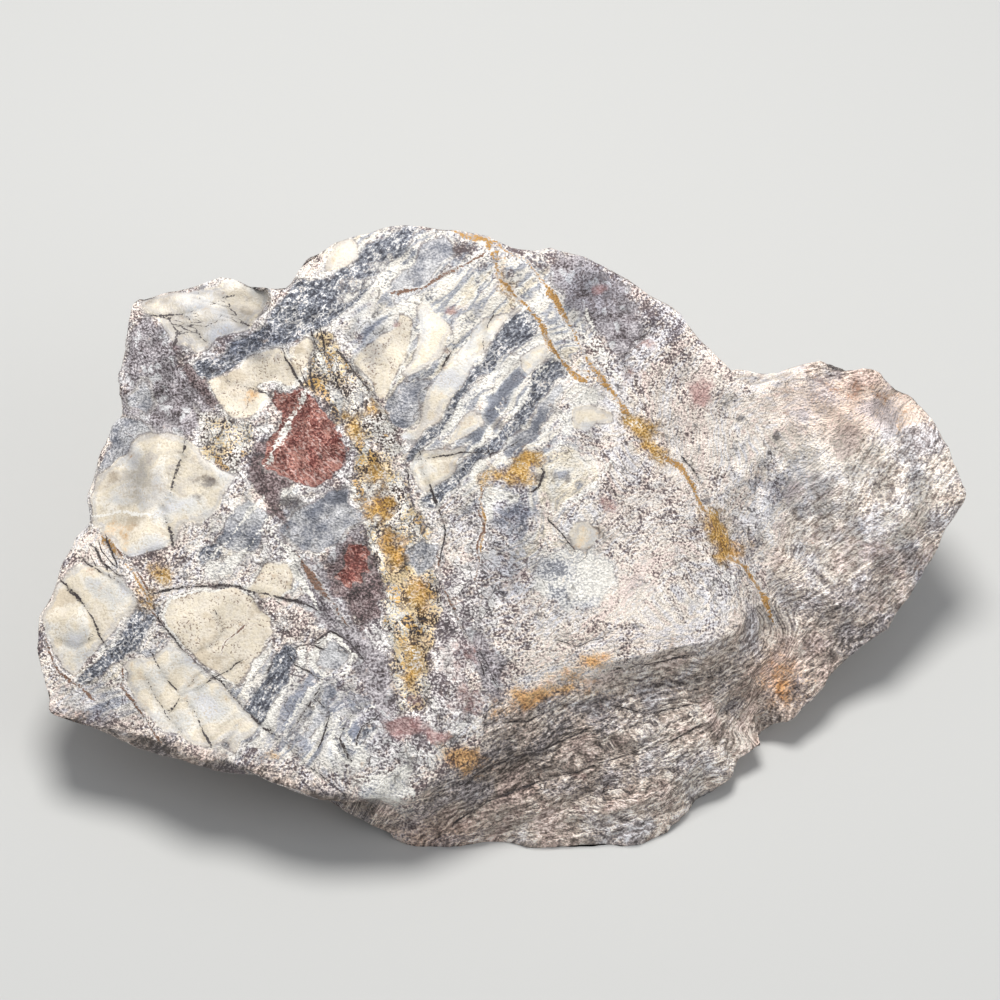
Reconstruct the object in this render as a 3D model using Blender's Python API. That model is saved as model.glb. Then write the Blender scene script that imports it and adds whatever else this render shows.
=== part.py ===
"""A broken block of porcelain jasper, one solid stone lying on a flat rest face.

The stone is a net of corners, stretched over its fracture faces as seen from a point deep inside it.
The net is split until its triangles are small, its creases are rounded a little, and then the surface
gets the relief of the rock: lumps, fracture dishes and the ledges of the layers it is built of.

Blender units are metres. The corners and the relief are written in units of the drawing, which are
millimetres at this size, in the quarry frame: +X to the right, +Y to the back, +Z up, with the front
foot of the stone at Y = 0. SEAT moves that frame so that the origin is in the middle of the stone's base.
"""

import heapq
import itertools

import bmesh
import bpy
import numpy as np
from mathutils import Vector

STONE_LENGTH = 0.162  # metres, from the tip of the left lip to the tip of the right lobe
DRAWN_LENGTH = 162.0  # the same length in the drawing, whose corners are written below
UNIT = STONE_LENGTH / DRAWN_LENGTH
SEAT = Vector((-2.35, -51.35, 0.0))  # puts the origin in the middle of the stone's base
HEART = Vector((8.0, 50.0, 12.0))  # the point inside the stone that every corner can be seen from

NET_EDGE = 5.0  # the longest edge left in the net
ROUNDING = 0.35  # how far a corner moves towards its neighbours, once
REST_BAND = 1.1  # what lies lower than this is ground flat into the rest face

LUMP_SIZE, LUMP_HEIGHT, LUMP_SEED = 17.0, 0.8, 3
DISH_SIZE, DISH_DEPTH, DISH_SEED = 13.0, 2.6, 7
DISH_MEAN = 0.35  # taken from every dish, so that they cut in as much as they stand out
SCATTER = 0.9  # how far the centre of a dish strays from the middle of its cell
FACE_DISH_SHARE = 0.16  # the big face broke cleanly, so its dishes are this shallow
LAYER_NORMAL = np.array((-0.39, -0.04, 0.92))  # across the layers, which climb to the right
LAYER_STEP, LAYER_RUN, LAYER_HEIGHT, LAYER_SEED = 5.0, 24.0, 0.9, 23
FACE_LAYER_SHARE = 0.15

# The plane of the big face: its height over one point, and its climb to the right and to the back.
FACE_POINT = (-77.0, 16.0, 18.0)
FACE_CLIMB = (0.15, 0.475)

# The high rim behind the big face, from its left tip over the crest to the right tip.
CREST = (
    (-80, 31.5, 25), (-77, 35.5, 26.5), (-76, 40, 28), (-74, 43.5, 29.5), (-71.5, 47, 30.5),
    (-72.5, 51.5, 32.5), (-70.5, 58, 35), (-68.5, 62.5, 37), (-66, 64.5, 38.5), (-67.5, 71.5, 42),
    (-66.5, 77, 45.5), (-66, 82, 48.5), (-65.5, 84.5, 49.5), (-57.5, 85, 50.5), (-47, 87, 52.5),
    (-43.5, 84.5, 53.5), (-40, 80, 52), (-37.5, 82, 54), (-35.5, 87, 57), (-30.5, 89.5, 58.5),
    (-26.5, 90.5, 59), (-21, 92, 60), (-14.5, 92.5, 60), (-8.5, 90.5, 60.5), (-2.5, 88.5, 59.5),
    (3.5, 86.5, 59), (12, 87, 57.5), (18.5, 86, 55.5), (24.5, 83, 52.5), (31.5, 80, 49), (34.5, 76.5, 47),
    (40.5, 72, 43), (44.5, 70.5, 41), (48.5, 71, 40), (51.5, 73.5, 40.5), (57, 77.5, 41), (64, 77, 39),
    (68, 77.5, 38), (70, 76, 37), (75, 74, 34.5), (79, 68.5, 31.5), (80, 65, 29.5), (81.5, 61.5, 27.5),
    (83, 59, 26),
)
# The low edge of the right lobe, from the right tip down to the front foot and along it.
EDGE = (
    (82.5, 56.5, 24.5), (79, 51.5, 20.5), (77.5, 48.5, 18), (72, 41.5, 14.5), (67, 36, 12),
    (63, 33, 10.5), (58.5, 29, 9), (52, 21.5, 6.5), (47, 17.5, 5), (41.5, 15.5, 4.5), (39, 12, 3.5),
    (35, 9.5, 3.5), (32.5, 8, 3), (30.5, 5, 1.5), (28, 2.5, 0.5), (22.5, 0, 0), (16.5, 1, 0),
    (10.5, 1, 0), (7.5, 0, 0), (1, 1, 0), (-3.5, 1, 0), (-8, 0, 0), (-11, 1, 0.5), (-14, 1.5, 1.5),
    (-15, 1, 1), (-19.5, 3, 2), (-24, 5, 3.5),
)
# The lower left lip of the big face, which overhangs, and the narrow chipped band under it.
LIP = (
    (-80.5, 26, 21.5), (-78.5, 19.5, 19), (-77.5, 15, 17.5), (-71, 12.5, 17.5), (-64.5, 11.5, 18),
    (-57.5, 8.5, 19), (-50.5, 5, 18.5), (-45.5, 5, 19), (-42, 3, 18.5), (-39, 1.5, 18), (-33.5, 0, 17.5),
    (-29, -0.5, 17), (-23.5, -0.5, 16.5), (-19.5, 0, 16), (-15.5, -1, 15), (-11.5, 1, 16),
)
LIP_BAND = ((-75, 16, 15.5), (-70, 15, 14), (-65.5, 13, 13), (-60, 10.5, 13), (-47, 6, 14))
# The ridge between the big face and the front side, and the crease up to the crest.
RIDGE = (
    (-7.5, 3.5, 18), (-3.5, 7.5, 20), (1, 12, 22.5), (5, 15.5, 24), (10, 18, 25.5), (17, 19.5, 27),
    (25.5, 21, 27), (34, 24.5, 25.5), (41.5, 30, 22.5), (47, 37.5, 20),
)
CREASE = (
    (47.5, 42.5, 21.5), (44, 46.5, 25), (39, 49.5, 29), (36.5, 53, 32.5), (31.5, 58, 37.5),
    (26, 60, 41.5), (19.5, 63, 46), (14, 70, 51), (8, 77, 55), (0, 83.5, 58),
)
# The big face, nearly a plane that rises to the back.
FACE = (
    (-56, 73, 47), (-45.5, 76, 49), (-58, 57.5, 40.5), (-43.5, 58, 42.5), (-29.5, 72.5, 52.5),
    (-60, 44.5, 34.5), (-46.5, 43.5, 35.5), (-33, 54.5, 41.5), (-66.5, 28.5, 26.5), (-51, 27.5, 28.5),
    (-36, 36.5, 33), (-59.5, 17.5, 22), (-42, 14.5, 23), (-27, 22, 27.5), (-25, 7, 22), (-17, 35.5, 34.5),
    (-12, 21, 28.5), (-17, 60, 48.5), (-14, 76, 56.5), (-3.5, 63.5, 52), (0, 47.5, 44), (-3.5, 34, 36.5),
    (-11.5, 6.5, 22.5),
)
# The swollen right part of the big face, which curves down to the crease.
BULGE = (
    (10.5, 78, 54), (8.5, 60.5, 47.5), (12, 46.5, 42.5), (20.5, 50.5, 40.5), (10, 34.5, 36),
    (22, 39, 35.5), (32.5, 42, 32), (3.5, 22.5, 29.5), (17, 25.5, 31), (29, 28.5, 29.5),
    (39.5, 36.5, 26.5),
)
# The right lobe, a second fracture plane that starts behind the crease and falls to the front.
LOBE = (
    (24.5, 73, 49.5), (33, 65.5, 42), (42, 62.5, 37), (51, 65.5, 36.5), (60, 67, 35), (69, 65, 31.5),
    (45.5, 55, 30), (56.5, 56.5, 28.5), (67, 56, 26), (76, 56.5, 25), (51, 47.5, 22.5), (62, 48.5, 21.5),
    (70.5, 49, 20.5), (52.5, 39, 16), (62.5, 40.5, 16), (51, 32, 11), (45.5, 24, 7.5),
)
# The steep front side, and the valley between it and the lobe.
FRONT = (
    (-5, 2.5, 11), (3.5, 9, 16.5), (3.5, 4, 8.5), (12, 13.5, 19), (13.5, 8, 12), (12, 3.5, 5),
    (22, 18.5, 20.5), (24, 11.5, 15.5), (24, 6, 9), (22.5, 2.5, 3), (32.5, 22, 18.5), (34, 16, 14),
    (32.5, 10.5, 8), (40.5, 27, 16), (39, 20.5, 10.5), (-8.5, 1.5, 5.5), (-12, 1.5, 8.5),
)
VALLEY = ((46, 34.5, 15.5), (44, 28.5, 12), (41.5, 23, 8), (39.5, 17, 5))
# The back and the two ends, broken steeply down from the crest.
BACK = (
    (-74, 40, 16), (-71, 58, 22), (-66, 76, 30), (-52, 93, 34), (-28, 99, 40), (-4, 98, 44), (18, 95, 38),
    (38, 86, 28), (56, 85, 24), (74, 76, 18), (77, 62, 12), (-64, 62, 9), (-58, 84, 12), (-34, 100, 17),
    (-8, 103, 20), (16, 99, 15), (40, 91, 10), (62, 80, 8), (-38, 84.5, 45), (-43, 87, 44), (39, 77, 36),
    (46, 75.5, 33), (-33, 91, 50), (-48, 90.5, 47), (-37.5, 83.5, 50), (-40.5, 82, 48.5), (41, 75, 34.5),
    (49.5, 75.5, 34.5), (54, 79.5, 34.5),
)
# The underside: a recess below the overhanging lip, and the outline of the rest face.
UNDERSIDE = ((-66, 28, 9), (-58, 42, 5), (-52, 18, 8), (-40, 10, 8.5), (66, 48, 5), (70, 62, 4))
REST = (
    (-22, 12, 0), (-34, 20, 0), (-44, 34, 0), (-50, 52, 0), (-52, 70, 0), (-42, 86, 0), (-22, 93, 0),
    (0, 96, 0), (24, 93, 0), (44, 84, 0), (58, 70, 0), (60, 52, 0), (52, 34, 0), (42, 22, 0), (34, 12, 0),
    (0, 45, 0),
)
RIMS = CREST + EDGE + LIP + LIP_BAND + RIDGE + CREASE
CORNERS = RIMS + FACE + BULGE + LOBE + FRONT + VALLEY + BACK + UNDERSIDE + REST


def lattice_value(cell, seed):
    """A fixed scrambled number from -1 to 1 for each whole-numbered cell."""
    mixed = cell[:, 0] * 73856093 ^ cell[:, 1] * 19349663 ^ cell[:, 2] * 83492791 ^ seed * 40503
    mixed = (mixed ^ (mixed >> 13)) * 1274126177 & 0xFFFFFFFF
    mixed = (mixed ^ (mixed >> 15)) * 2246822519 & 0xFFFFFFFF
    return (mixed >> 8 & 0xFFFF) / 32767.5 - 1.0


def noise(points, seed):
    """Smooth noise from -1 to 1: the cell values, faded between the eight cells round each point."""
    cell = np.floor(points).astype(np.int64)
    part = points - cell
    fade = part * part * (3 - 2 * part)
    total = np.zeros(len(points))
    for corner in np.ndindex(2, 2, 2):
        weight = np.prod(np.where(corner, fade, 1 - fade), axis=1)
        total += weight * lattice_value(cell + corner, seed)
    return total


def dishes(points, seed):
    """Squared distance to the nearest scattered centre, 0 to about 1: hollows that meet in sharp ridges."""
    cell = np.floor(points).astype(np.int64)
    nearest = np.full(len(points), np.inf)
    for step in np.ndindex(3, 3, 3):
        home = cell + np.array(step) - 1
        offset = np.stack([lattice_value(home, seed + axis) for axis in range(3)], axis=1)
        centre = home + 0.5 * (1 + SCATTER * offset)
        nearest = np.minimum(nearest, np.sum((points - centre) ** 2, axis=1))
    return nearest


def below_face(points):
    """How far each point lies under the plane of the big face, in millimetres."""
    x, y, z = (points - FACE_POINT).T
    return FACE_CLIMB[0] * x + FACE_CLIMB[1] * y - z


def share(values, start, end):
    """0 before start, 1 after end, and even between them."""
    return np.clip((values - start) / (end - start), 0, 1)


def relief(points):
    """Height of the surface over the net: lumps, hollow fracture dishes and the broken ledges of the layers.
    The big face is the flattest, the right lobe and the front show the layers, and the back is roughest."""
    right = share(points[:, 0], 20, 60)
    off_face = share(below_face(points), 1, 8)
    behind = share(points[:, 1], 80, 92) + share(below_face(points), 18, 30)
    lumps = LUMP_HEIGHT * noise(points / LUMP_SIZE, LUMP_SEED)
    dish_share = FACE_DISH_SHARE + (1 - FACE_DISH_SHARE) * np.clip(behind, 0, 1)
    dish = DISH_DEPTH * (dishes(points / DISH_SIZE, DISH_SEED) - DISH_MEAN) * dish_share
    across = points @ LAYER_NORMAL
    along = points - np.outer(across, LAYER_NORMAL)
    layered = along / LAYER_RUN + np.outer(across / LAYER_STEP, LAYER_NORMAL)
    ledge_share = np.clip(FACE_LAYER_SHARE + right + off_face, 0, 1)
    ledges = LAYER_HEIGHT * noise(layered, LAYER_SEED) * ledge_share
    return lumps + dish + ledges


def stretched_net(corners):
    """A closed net of triangles through the corners, joined in the way they are seen from the heart."""
    net = bmesh.new()
    places = {}
    for corner in corners:
        place = Vector(corner)
        places[net.verts.new((place - HEART).normalized())] = place
    bmesh.ops.convex_hull(net, input=net.verts)
    for vertex in net.verts:
        vertex.co = places[vertex]
    return net


def refine(net):
    """Splits the longest edge in two, with the faces on both sides of it, until no edge is too long."""
    count = itertools.count()
    queue = [(-edge.calc_length(), next(count), edge) for edge in net.edges]
    heapq.heapify(queue)
    while -queue[0][0] > NET_EDGE:
        edge = heapq.heappop(queue)[2]
        faces = list(edge.link_faces)
        opposite = [next(vertex for vertex in face.verts if vertex not in edge.verts) for face in faces]
        half, middle = bmesh.utils.edge_split(edge, edge.verts[0], 0.5)
        for face, vertex in zip(faces, opposite):
            bmesh.utils.face_split(face, middle, vertex)
        for new_edge in middle.link_edges:
            heapq.heappush(queue, (-new_edge.calc_length(), next(count), new_edge))


def add_relief(net):
    """Moves each vertex along its normal by the relief there, and grinds the rest face flat."""
    bmesh.ops.recalc_face_normals(net, faces=net.faces)
    net.normal_update()
    heights = relief(np.array([vertex.co for vertex in net.verts]))
    for vertex, height in zip(net.verts, heights):
        lowest = vertex.co.z
        vertex.co += vertex.normal * height
        if min(lowest, vertex.co.z) < REST_BAND:
            vertex.co.z = 0.0


def stone_material():
    material = bpy.data.materials.new("porcelain_jasper")
    material.use_nodes = True
    finish = material.node_tree.nodes["Principled BSDF"]
    finish.inputs["Base Color"].default_value = (0.62, 0.55, 0.50, 1.0)
    finish.inputs["Roughness"].default_value = 0.62
    finish.inputs["Metallic"].default_value = 0.0
    return material


def make_stone():
    net = stretched_net(CORNERS)
    refine(net)
    every_axis = {"use_axis_x": True, "use_axis_y": True, "use_axis_z": True}
    bmesh.ops.smooth_vert(net, verts=net.verts, factor=ROUNDING, **every_axis)
    add_relief(net)
    bmesh.ops.translate(net, verts=net.verts, vec=SEAT)
    bmesh.ops.scale(net, verts=net.verts, vec=(UNIT, UNIT, UNIT))
    mesh = bpy.data.meshes.new("jasper_stone")
    net.to_mesh(mesh)
    net.free()
    mesh.shade_smooth()
    mesh.materials.append(stone_material())
    stone = bpy.data.objects.new("jasper_stone", mesh)
    bpy.context.scene.collection.objects.link(stone)
    return stone


for old in list(bpy.data.objects):
    bpy.data.objects.remove(old)
make_stone()
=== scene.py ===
"""The finished look of a broken block of porcelain jasper, laid out as a Blender add-on.

The stone gets a fine skin: a grid wrapped round it, with the relief of the rock. Its markings are drawn on
a chart, which is the stone as seen by an eye above and in front of it, and reach the material as distances
from their outlines. Lengths are in millimetres of the drawing and in the quarry frame, as in the solid:
+X to the right, +Y to the back, +Z up, with the front foot of the stone at Y = 0.
"""

from math import cos, pi, radians, sin

import bmesh
import bpy
import numpy as np
from bpy.props import FloatProperty, FloatVectorProperty, IntProperty, PointerProperty
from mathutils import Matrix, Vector


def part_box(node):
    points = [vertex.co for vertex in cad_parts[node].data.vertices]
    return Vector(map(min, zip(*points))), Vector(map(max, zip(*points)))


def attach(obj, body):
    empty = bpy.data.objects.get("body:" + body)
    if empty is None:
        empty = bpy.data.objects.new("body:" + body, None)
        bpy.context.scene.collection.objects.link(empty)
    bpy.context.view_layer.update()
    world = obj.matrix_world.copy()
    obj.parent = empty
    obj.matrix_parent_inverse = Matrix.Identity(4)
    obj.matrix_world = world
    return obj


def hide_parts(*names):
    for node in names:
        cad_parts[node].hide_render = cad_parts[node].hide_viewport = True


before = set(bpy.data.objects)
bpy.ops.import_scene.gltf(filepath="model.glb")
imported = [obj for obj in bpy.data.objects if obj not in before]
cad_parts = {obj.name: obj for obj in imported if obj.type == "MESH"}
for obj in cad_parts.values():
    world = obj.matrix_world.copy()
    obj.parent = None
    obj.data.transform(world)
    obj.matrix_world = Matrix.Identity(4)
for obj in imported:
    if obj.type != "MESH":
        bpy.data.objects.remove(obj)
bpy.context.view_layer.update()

bl_info = {
    "name": "Porcelain Jasper Stone",
    "version": (1, 0, 0),
    "blender": (4, 5, 0),
    "location": "3D View > Sidebar > Jasper",
    "description": "Builds the skin, the markings and the studio of a broken block of porcelain jasper",
    "category": "Object",
}

NODE = "jasper_stone"

UNIT = 0.001  # metres in one unit of the drawing
SEAT = np.array((-2.35, -51.35, 0.0))  # moves the origin from the front foot to the middle of the base
HEART = np.array((8.0, 50.0, 12.0))  # the point inside the stone that every part of the skin can be seen from
REACH = np.array((80.0, 50.0, 30.0))  # the stone's rough reach from its heart, which spaces the grid evenly
LEAN = np.array((0.0, -0.20, 0.30))  # draws the grid closer on the broad face and the front
EVERY_AXIS = range(3)

# The marks are drawn on a chart, 1000 wide and high, with its origin at the top left: the stone as an eye
# sees it from EYE, looking down by LOOK_DOWN. CHART_ZOOM is the width of what lies at a depth of one.
EYE = np.array((0.0, -275.69, 421.37))
LOOK_DOWN = radians(50)
CHART_ZOOM = 2916.67
CHART_MIDDLE = np.array((500.0, 500.0))
SEEN, UNSEEN = 0.02, -0.30  # the skin's facing towards the eye where its markings start and end fading
FAR_AWAY = 300.0

WANDER_SEED = 31
COARSE_WANDER_SIZE, COARSE_WANDER = 5.0, 5.0  # millimetres from bend to bend, and the chart units moved
FINE_WANDER_SIZE, FINE_WANDER = 1.7, 3.0
VEIN_WANDER = 0.35  # the share of that wander that a vein follows

EASING = 0.5  # how far a point of the skin moves towards its neighbours in each pass
# The relief that the skin adds. Each kind is its size, its height or depth, and its seed.
SOFT_LUMPS = (4.2, 0.20, 51)
BROKEN_LUMPS = ((2.3, 0.30, 52), (1.25, 0.20, 53))
BROKEN_DISHES = (5.2, 0.85, 54)
BROAD_DISHES = (14.0, 1.0, 58)
ROUGH_BROAD, SMOOTH_BROAD = 0.25, 0.45  # the share of those dishes everywhere, and more on smooth rock
THIN_LAYERS = ((2.6, 0.17, 41), (1.3, 0.10, 42))
LAYER_MEAN, LAYER_FRONT = 0.3, 0.9  # taken from every thin layer, and how much higher the front's are
BACK_DISHES = (5.5, 1.1, 61)
CHIPS = (2.6, 0.9, 71)
CHIP_SHARE = 0.15  # moves the chips' noise up, so that more than half of a sharp rim is chipped
RIM_CURVE = (0.02, 0.12)  # how far a point stands out from its neighbours where chips start and are full
CRACK_DEPTH, CRACK_REACH = 0.22, 3.2
HOLLOW_PASSES = (2, 8)
PATCH_EDGE, SMOOTH_EDGE = (-3, 3), (-4, 6)  # chart units inside a patch where it starts and is full
SUNK_PATCHES = {"breccia": 0.40, "red": 0.35, "maroon": 0.30, "slate": 0.20, "cream": -0.06, "ochre": 0.15}

FIELD_GROUPS = {
    "marks_a": ("cream", "slate", "mauve"),
    "marks_b": ("red", "ochre", "tan"),
    "marks_c": ("breccia", "white", "blue"),
    "marks_d": ("maroon", "brushed", "seen"),
    "marks_i": ("tone", "banded", "shattered"),
    "marks_j": ("hollow", "front", "smudge"),
    "marks_e": ("dark_vein_across", "dark_vein_off", "stain"),
    "marks_f": ("warm_vein_across", "warm_vein_off", "rose"),
    "marks_g": ("brown_vein_across", "brown_vein_off", "dark_spot"),
    "marks_h": ("pale_vein_across", "pale_vein_off", "warmth"),
}

# The grain of the rock on the chart: lines that run along it, each up to the right.
GRAIN_LINES = (
    ((195, 375), (250, 350), (330, 300), (410, 224)),
    ((409, 521), (470, 470), (520, 420), (567, 356)),
    ((60, 690), (105, 665), (155, 605), (180, 565), (230, 500)),
    ((231, 743), (292, 653)),
    ((300, 770), (370, 700), (430, 640)),
    ((334, 764), (326, 742), (332, 718), (350, 706), (368, 712), (372, 730), (360, 744)),
    ((544, 484), (542, 464), (562, 450), (586, 456), (592, 474), (576, 490)),
    ((580, 330), (640, 270)),
    ((560, 640), (640, 560)),
    ((790, 396), (868, 385)),
    ((775, 515), (806, 477), (829, 465), (868, 427)),
    ((787, 558), (806, 531), (845, 496), (879, 450), (906, 408)),
    ((798, 596), (852, 565), (906, 531), (945, 477)),
    ((752, 719), (775, 688), (829, 642), (887, 596), (929, 554)),
    ((434, 786), (487, 758), (530, 726), (580, 694), (630, 672), (701, 661), (737, 640)),
    ((416, 819), (487, 783), (559, 747), (630, 711), (684, 697), (723, 683), (766, 647)),
    ((451, 833), (523, 808), (594, 779), (651, 758), (701, 729), (737, 701)),
    ((469, 847), (541, 836), (612, 819), (666, 801), (701, 772), (737, 754)),
)
GRAIN_LEAN = radians(40)  # how steeply the grain climbs on the whole
GRAIN_REACH = 12.0
GRAIN_STRETCH = 6.0  # how many times longer than wide a streak is
GRAIN_WANDER_SIZE, GRAIN_WANDER = 6.0, 0.6
GRAIN_FRAY_SIZE, GRAIN_FRAY, GRAIN_FRAY_SEED = 1.6, 0.2, 37
CHART_STEP = 0.172  # millimetres of rock that one chart unit spans

REST_BAND = 1.1  # what lies lower than this is ground flat into the rest face
# The relief of the solid, which the skin repeats. Each kind is its size, its height or depth, and its seed.
LUMPS = (17.0, 0.8, 3)
DISHES = (13.0, 2.6, 7)
DISH_MEAN = 0.35  # taken from every dish, so that they cut in as much as they stand out
SCATTER = 0.9  # how far the centre of a dish strays from the middle of its cell
FACE_DISH_SHARE = 0.16  # the big face broke cleanly, so its dishes are this shallow
LAYER_NORMAL = np.array((-0.39, -0.04, 0.92))  # across the layers, which climb to the right
LAYER_STEP, LAYER_RUN, LAYER_HEIGHT, LAYER_SEED = 5.0, 24.0, 0.9, 23
FACE_LAYER_SHARE = 0.15
# Where the relief of a part of the stone starts and is full: how far to the right or to the back, and how far
# under the plane of the big face.
RIGHT_SPAN, BACK_SPAN = (20, 60), (80, 92)
OFF_FACE_SPAN, UNDER_SPAN = (1, 8), (18, 30)

# The plane of the big face: its height over one point, and its climb to the right and to the back.
FACE_POINT = (-77.0, 16.0, 18.0)
FACE_CLIMB = (0.15, 0.475)

# The corners of the stone's planes, in millimetres: the net that the skin is stretched over.

# The high rim behind the big face, from its left tip over the crest to the right tip.
CREST = (
    (-80, 31.5, 25), (-77, 35.5, 26.5), (-76, 40, 28), (-74, 43.5, 29.5), (-71.5, 47, 30.5),
    (-72.5, 51.5, 32.5), (-70.5, 58, 35), (-68.5, 62.5, 37), (-66, 64.5, 38.5), (-67.5, 71.5, 42),
    (-66.5, 77, 45.5), (-66, 82, 48.5), (-65.5, 84.5, 49.5), (-57.5, 85, 50.5), (-47, 87, 52.5),
    (-43.5, 84.5, 53.5), (-40, 80, 52), (-37.5, 82, 54), (-35.5, 87, 57), (-30.5, 89.5, 58.5),
    (-26.5, 90.5, 59), (-21, 92, 60), (-14.5, 92.5, 60), (-8.5, 90.5, 60.5), (-2.5, 88.5, 59.5),
    (3.5, 86.5, 59), (12, 87, 57.5), (18.5, 86, 55.5), (24.5, 83, 52.5), (31.5, 80, 49), (34.5, 76.5, 47),
    (40.5, 72, 43), (44.5, 70.5, 41), (48.5, 71, 40), (51.5, 73.5, 40.5), (57, 77.5, 41), (64, 77, 39),
    (68, 77.5, 38), (70, 76, 37), (75, 74, 34.5), (79, 68.5, 31.5), (80, 65, 29.5), (81.5, 61.5, 27.5),
    (83, 59, 26),
)
# The low edge of the right lobe, from the right tip down to the front foot and along it.
EDGE = (
    (82.5, 56.5, 24.5), (79, 51.5, 20.5), (77.5, 48.5, 18), (72, 41.5, 14.5), (67, 36, 12),
    (63, 33, 10.5), (58.5, 29, 9), (52, 21.5, 6.5), (47, 17.5, 5), (41.5, 15.5, 4.5), (39, 12, 3.5),
    (35, 9.5, 3.5), (32.5, 8, 3), (30.5, 5, 1.5), (28, 2.5, 0.5), (22.5, 0, 0), (16.5, 1, 0),
    (10.5, 1, 0), (7.5, 0, 0), (1, 1, 0), (-3.5, 1, 0), (-8, 0, 0), (-11, 1, 0.5), (-14, 1.5, 1.5),
    (-15, 1, 1), (-19.5, 3, 2), (-24, 5, 3.5),
)
# The lower left lip of the big face, which overhangs, and the narrow chipped band under it.
LIP = (
    (-80.5, 26, 21.5), (-78.5, 19.5, 19), (-77.5, 15, 17.5), (-71, 12.5, 17.5), (-64.5, 11.5, 18),
    (-57.5, 8.5, 19), (-50.5, 5, 18.5), (-45.5, 5, 19), (-42, 3, 18.5), (-39, 1.5, 18), (-33.5, 0, 17.5),
    (-29, -0.5, 17), (-23.5, -0.5, 16.5), (-19.5, 0, 16), (-15.5, -1, 15), (-11.5, 1, 16),
)
LIP_BAND = ((-75, 16, 15.5), (-70, 15, 14), (-65.5, 13, 13), (-60, 10.5, 13), (-47, 6, 14))
# The ridge between the big face and the front side, and the crease up to the crest.
RIDGE = (
    (-7.5, 3.5, 18), (-3.5, 7.5, 20), (1, 12, 22.5), (5, 15.5, 24), (10, 18, 25.5), (17, 19.5, 27),
    (25.5, 21, 27), (34, 24.5, 25.5), (41.5, 30, 22.5), (47, 37.5, 20),
)
CREASE = (
    (47.5, 42.5, 21.5), (44, 46.5, 25), (39, 49.5, 29), (36.5, 53, 32.5), (31.5, 58, 37.5),
    (26, 60, 41.5), (19.5, 63, 46), (14, 70, 51), (8, 77, 55), (0, 83.5, 58),
)
# The big face, nearly a plane that rises to the back.
FACE = (
    (-56, 73, 47), (-45.5, 76, 49), (-58, 57.5, 40.5), (-43.5, 58, 42.5), (-29.5, 72.5, 52.5),
    (-60, 44.5, 34.5), (-46.5, 43.5, 35.5), (-33, 54.5, 41.5), (-66.5, 28.5, 26.5), (-51, 27.5, 28.5),
    (-36, 36.5, 33), (-59.5, 17.5, 22), (-42, 14.5, 23), (-27, 22, 27.5), (-25, 7, 22), (-17, 35.5, 34.5),
    (-12, 21, 28.5), (-17, 60, 48.5), (-14, 76, 56.5), (-3.5, 63.5, 52), (0, 47.5, 44), (-3.5, 34, 36.5),
    (-11.5, 6.5, 22.5),
)
# The swollen right part of the big face, which curves down to the crease.
BULGE = (
    (10.5, 78, 54), (8.5, 60.5, 47.5), (12, 46.5, 42.5), (20.5, 50.5, 40.5), (10, 34.5, 36),
    (22, 39, 35.5), (32.5, 42, 32), (3.5, 22.5, 29.5), (17, 25.5, 31), (29, 28.5, 29.5),
    (39.5, 36.5, 26.5),
)
# The right lobe, a second fracture plane that starts behind the crease and falls to the front.
LOBE = (
    (24.5, 73, 49.5), (33, 65.5, 42), (42, 62.5, 37), (51, 65.5, 36.5), (60, 67, 35), (69, 65, 31.5),
    (45.5, 55, 30), (56.5, 56.5, 28.5), (67, 56, 26), (76, 56.5, 25), (51, 47.5, 22.5), (62, 48.5, 21.5),
    (70.5, 49, 20.5), (52.5, 39, 16), (62.5, 40.5, 16), (51, 32, 11), (45.5, 24, 7.5),
)
# The steep front side, and the valley between it and the lobe.
FRONT = (
    (-5, 2.5, 11), (3.5, 9, 16.5), (3.5, 4, 8.5), (12, 13.5, 19), (13.5, 8, 12), (12, 3.5, 5),
    (22, 18.5, 20.5), (24, 11.5, 15.5), (24, 6, 9), (22.5, 2.5, 3), (32.5, 22, 18.5), (34, 16, 14),
    (32.5, 10.5, 8), (40.5, 27, 16), (39, 20.5, 10.5), (-8.5, 1.5, 5.5), (-12, 1.5, 8.5),
)
VALLEY = ((46, 34.5, 15.5), (44, 28.5, 12), (41.5, 23, 8), (39.5, 17, 5))
# The back and the two ends, broken steeply down from the crest.
BACK = (
    (-74, 40, 16), (-71, 58, 22), (-66, 76, 30), (-52, 93, 34), (-28, 99, 40), (-4, 98, 44), (18, 95, 38),
    (38, 86, 28), (56, 85, 24), (74, 76, 18), (77, 62, 12), (-64, 62, 9), (-58, 84, 12), (-34, 100, 17),
    (-8, 103, 20), (16, 99, 15), (40, 91, 10), (62, 80, 8), (-38, 84.5, 45), (-43, 87, 44), (39, 77, 36),
    (46, 75.5, 33), (-33, 91, 50), (-48, 90.5, 47), (-37.5, 83.5, 50), (-40.5, 82, 48.5), (41, 75, 34.5),
    (49.5, 75.5, 34.5), (54, 79.5, 34.5),
)
# The underside: a recess below the overhanging lip, and the outline of the rest face.
UNDERSIDE = ((-66, 28, 9), (-58, 42, 5), (-52, 18, 8), (-40, 10, 8.5), (66, 48, 5), (70, 62, 4))
REST = (
    (-22, 12, 0), (-34, 20, 0), (-44, 34, 0), (-50, 52, 0), (-52, 70, 0), (-42, 86, 0), (-22, 93, 0),
    (0, 96, 0), (24, 93, 0), (44, 84, 0), (58, 70, 0), (60, 52, 0), (52, 34, 0), (42, 22, 0), (34, 12, 0),
    (0, 45, 0),
)
RIMS = CREST + EDGE + LIP + LIP_BAND + RIDGE + CREASE
CORNERS = RIMS + FACE + BULGE + LOBE + FRONT + VALLEY + BACK + UNDERSIDE + REST

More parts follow.
